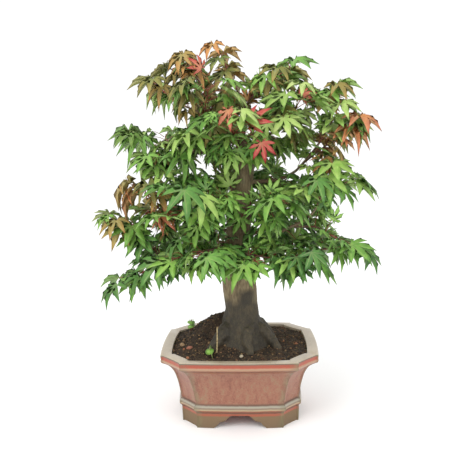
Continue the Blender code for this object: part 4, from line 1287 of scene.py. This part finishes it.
def stalk_chain(fork, centre, dice):
    """A leaf stalk: thicker at its foot, and bowed a little under its leaf."""
    bow = (centre - fork).length * dice.uniform(0.06, 0.16)
    points = [fork.lerp(centre, t) + Vector((0, 0, bow * math.sin(math.pi * t))) for t in (0, 0.25, 0.5, 0.75, 1)]
    return points, [0.55 * MM, 0.42 * MM, 0.38 * MM, 0.36 * MM, 0.42 * MM], 0.0


def stem_chain(start, forks):
    """The soft stem that joins a twig's end to its leaves' forks."""
    stops = [start]
    for fork in sorted(forks, key=lambda fork: (fork - start).length):
        if (fork - stops[-1]).length > 3 * MM:
            stops.append(fork)
    if len(stops) < 2:
        return None
    path = smooth_path(stops, 4)
    return path, [(1.0 - 0.45 * i / len(path)) * MM for i in range(len(path))], 0.0


def grow_shoot(node, templates, leaves, chains, dice, tint, droop, light, marked=()):
    """One piece: every blade of a shoot, its stalks and its stem."""
    rows = []
    for centre, point, up, length, _ in leaves:
        turned = max(0.0, tint + dice.uniform(-0.4, 0.16)) if tint else 0.0
        blade = 0 if len(templates.objects) == 1 else dice.choice(droop)
        # Painted light and shade: leaves above the crown's middle get a lighter green, those below a darker one, over
        # a random tone.
        shade = light + dice.uniform(-0.28, 0.3) + 0.16 * max(-1, min(1, (centre.z - CROWN_MIDDLE) / CROWN_HALF))
        rows.append((centre, point, up, length, blade, turned, shade))
    for leaf, row in zip(marked, MARKED.get(node.removeprefix("shoot_"), ())):
        side = leaf[2].cross(leaf[1]).normalized()
        rows.append((*leaf[:2], leaf[1].cross(side), leaf[3], 1, row[4], 0.5))
    blades_grown = leafing.grow(leaf_points(node, rows), Templates=templates, Finish=foliage)
    skins = strands.grow(chain_object(node + "_stalks", chains), Sides=6, Finish=stalks)
    piece = join(node + "_grown", [blades_grown, skins])
    return dress(piece, None, "leaf", node, sharp=0)


SHOOT_SEED = 100
MAPLE_SPOKES, ROUND_SPOKES = 10, 8  # edges that meet at a leaf's hub, at least
INNER_ON_TWIG, INNER_ON_BRANCH = 8, 16  # small leaves along each
MIDDLE_GREEN = 0.42
total = 0
for number, (name, (path, _, _)) in enumerate(paths.items()):
    dice = random.Random(SHOOT_SEED + number)
    node = "shoot_" + name
    if node not in bpy.data.objects:
        continue
    solid_leaves = read_leaves(node, MAPLE_SPOKES)
    extra = inner_leaves(path, INNER_ON_TWIG if "twig" in name else INNER_ON_BRANCH, dice)
    leaves = solid_leaves + extra
    marked = [(Vector(centre) * MM, Vector(point).normalized(), Vector(up), length * MM, path[-1])
              for centre, point, up, length, _ in MARKED.get(name, ())]  # fmt: skip
    chains = [stalk_chain(leaf[4], leaf[0], dice) for leaf in leaves + marked]
    stem = stem_chain(path[-1], [leaf[4] for leaf in solid_leaves])
    if stem:
        chains.append(stem)
    droop = (1, 1, 2, 2) if name.startswith(DROOPING) else (0, 0, 0, 1, 1, 3)
    grow_shoot(node, blades, leaves, chains, dice, TURNED.get(name, 0.0), droop, MIDDLE_GREEN, marked)
    total += len(leaves)
print("leaves on shoots:", total)

# %% [markdown]
# ## Small growth and stones
#
# A dead stem and two weeds stand in the soil beside the trunk, with three pebbles. They are small, but they tell
# the eye how large the tree is.


# %% Grow what stands beside the trunk
PLANTS = {"dead_stalk": (-28, -41, 33, 2), "seedling_front": (-33, -47, 9, -3), "seedling_left": (-66, 24, 15, 1)}
straw = plain_finish("dead_stem", 0.8, 3 * MM, (0.35, rgb(150, 128, 88)), (0.6, rgb(196, 178, 134)))


def plant_chain(name, thick, thin):
    x, y, height, lean = (value * MM for value in PLANTS[name])
    foot = Vector((x, y, soil_height(x, y)))
    points = []
    for k in range(9):
        t = k / 8
        sway = 0.5 * MM * math.sin(5 * t) * t
        points.append(foot + Vector((lean * t + sway, 0, -5 * MM * (1 - t) + height * t)))
    return points, [thick + (thin - thick) * k / 8 for k in range(9)], 0.0


stalk = strands.grow(chain_object("dead_stem", [plant_chain("dead_stalk", 1.0 * MM, 0.6 * MM)]), Sides=10)
dress(stalk, straw, "dead_stalk", "dead_stalk", sharp=0)
for name in ("seedling_front", "seedling_left"):
    dice = random.Random(len(name))
    leaves = read_leaves(name, ROUND_SPOKES)
    chains = [stalk_chain(leaf[4], leaf[0], dice) for leaf in leaves] + [plant_chain(name, 0.65 * MM, 0.5 * MM)]
    grow_shoot(name, rounds, leaves, chains, dice, 0.0, (0,), 0.8)
    print(name, "leaves:", len(leaves))
for templates in (blades, rounds):
    discard(templates)

# %% Finish the pebbles, screens and wires
PEBBLE_COLOURS = {
    "pebble_red": (rgb(138, 84, 66), rgb(182, 124, 100)),
    "pebble_tan": (rgb(142, 112, 84), rgb(190, 160, 124)),
    "pebble_pale": (rgb(168, 152, 130), rgb(212, 198, 174)),
}


def refined(node, material, slot, levels=0, rough=0.0):
    """A finer copy of a small solid, which it stands in for."""
    obj = from_bmesh(node + "_fine", welded(node))
    if levels:
        add_modifier(obj, "SUBSURF", levels=levels, render_levels=levels, subdivision_type="SIMPLE")
        settle(obj)
        for vertex in obj.data.vertices:
            vertex.co += vertex.normal * rough * noise(vertex.co / (1.6 * MM))
    return dress(obj, material, slot, node)


for name, (dark, pale) in PEBBLE_COLOURS.items():
    refined(name, plain_finish(name + "_stone", 0.85, 2 * MM, (0.35, dark), (0.65, pale)), "pebble", 2, 0.25 * MM)
mesh_black = plain_finish("screen_plastic", 0.6, 4 * MM, (0.4, rgb(22, 22, 22)), (0.6, rgb(34, 34, 33)))
metal = Finish("wire", 0.38)
metal.set("Base Color", metal.ramp(metal.speckle(3 * MM), (0.4, rgb(170, 172, 174)), (0.6, rgb(202, 204, 206))))
metal.set("Metallic", 1.0)
for side in ("left", "right"):
    refined(f"drain_screen_{side}", mesh_black, "screen_plastic")
    refined(f"screen_wire_{side}", metal.material, "wire")
for templates in (stones, threads):
    discard(templates)
print("small pieces done")

# %% [markdown]
# ## Floor and light
#
# The tree stands on white paper under an even light, with one large soft lamp from the front left.

# %% Floor and light
floor_bm = bmesh.new()
bmesh.ops.create_grid(floor_bm, x_segments=1, y_segments=1, size=6.0)
floor = from_bmesh("studio_floor", floor_bm)
paper = Finish("studio_paper", 0.9)
paper.set("Base Color", (1.0, 1.0, 1.0, 1))
floor.data.materials.append(paper.material)
world = bpy.data.worlds.new("studio")
world.use_nodes = True
world.node_tree.nodes["Background"].inputs["Color"].default_value = (1, 1, 1, 1)
world.node_tree.nodes["Background"].inputs["Strength"].default_value = 1.08
bpy.context.scene.world = world
bpy.context.scene.view_settings.view_transform = "Standard"


def softbox(name, place, size, power):
    light = bpy.data.lights.new(name, "AREA")
    light.shape = "SQUARE"
    light.size = size
    light.energy = power
    obj = bpy.data.objects.new(name, light)
    obj.location = place
    obj.rotation_euler = (Vector((0, 0, 0.2)) - Vector(place)).to_track_quat("-Z", "Y").to_euler()
    bpy.context.scene.collection.objects.link(obj)


softbox("key", (-1.1, -1.3, 1.8), 1.4, 22)
softbox("fill", (1.6, -1.0, 1.0), 1.6, 8)
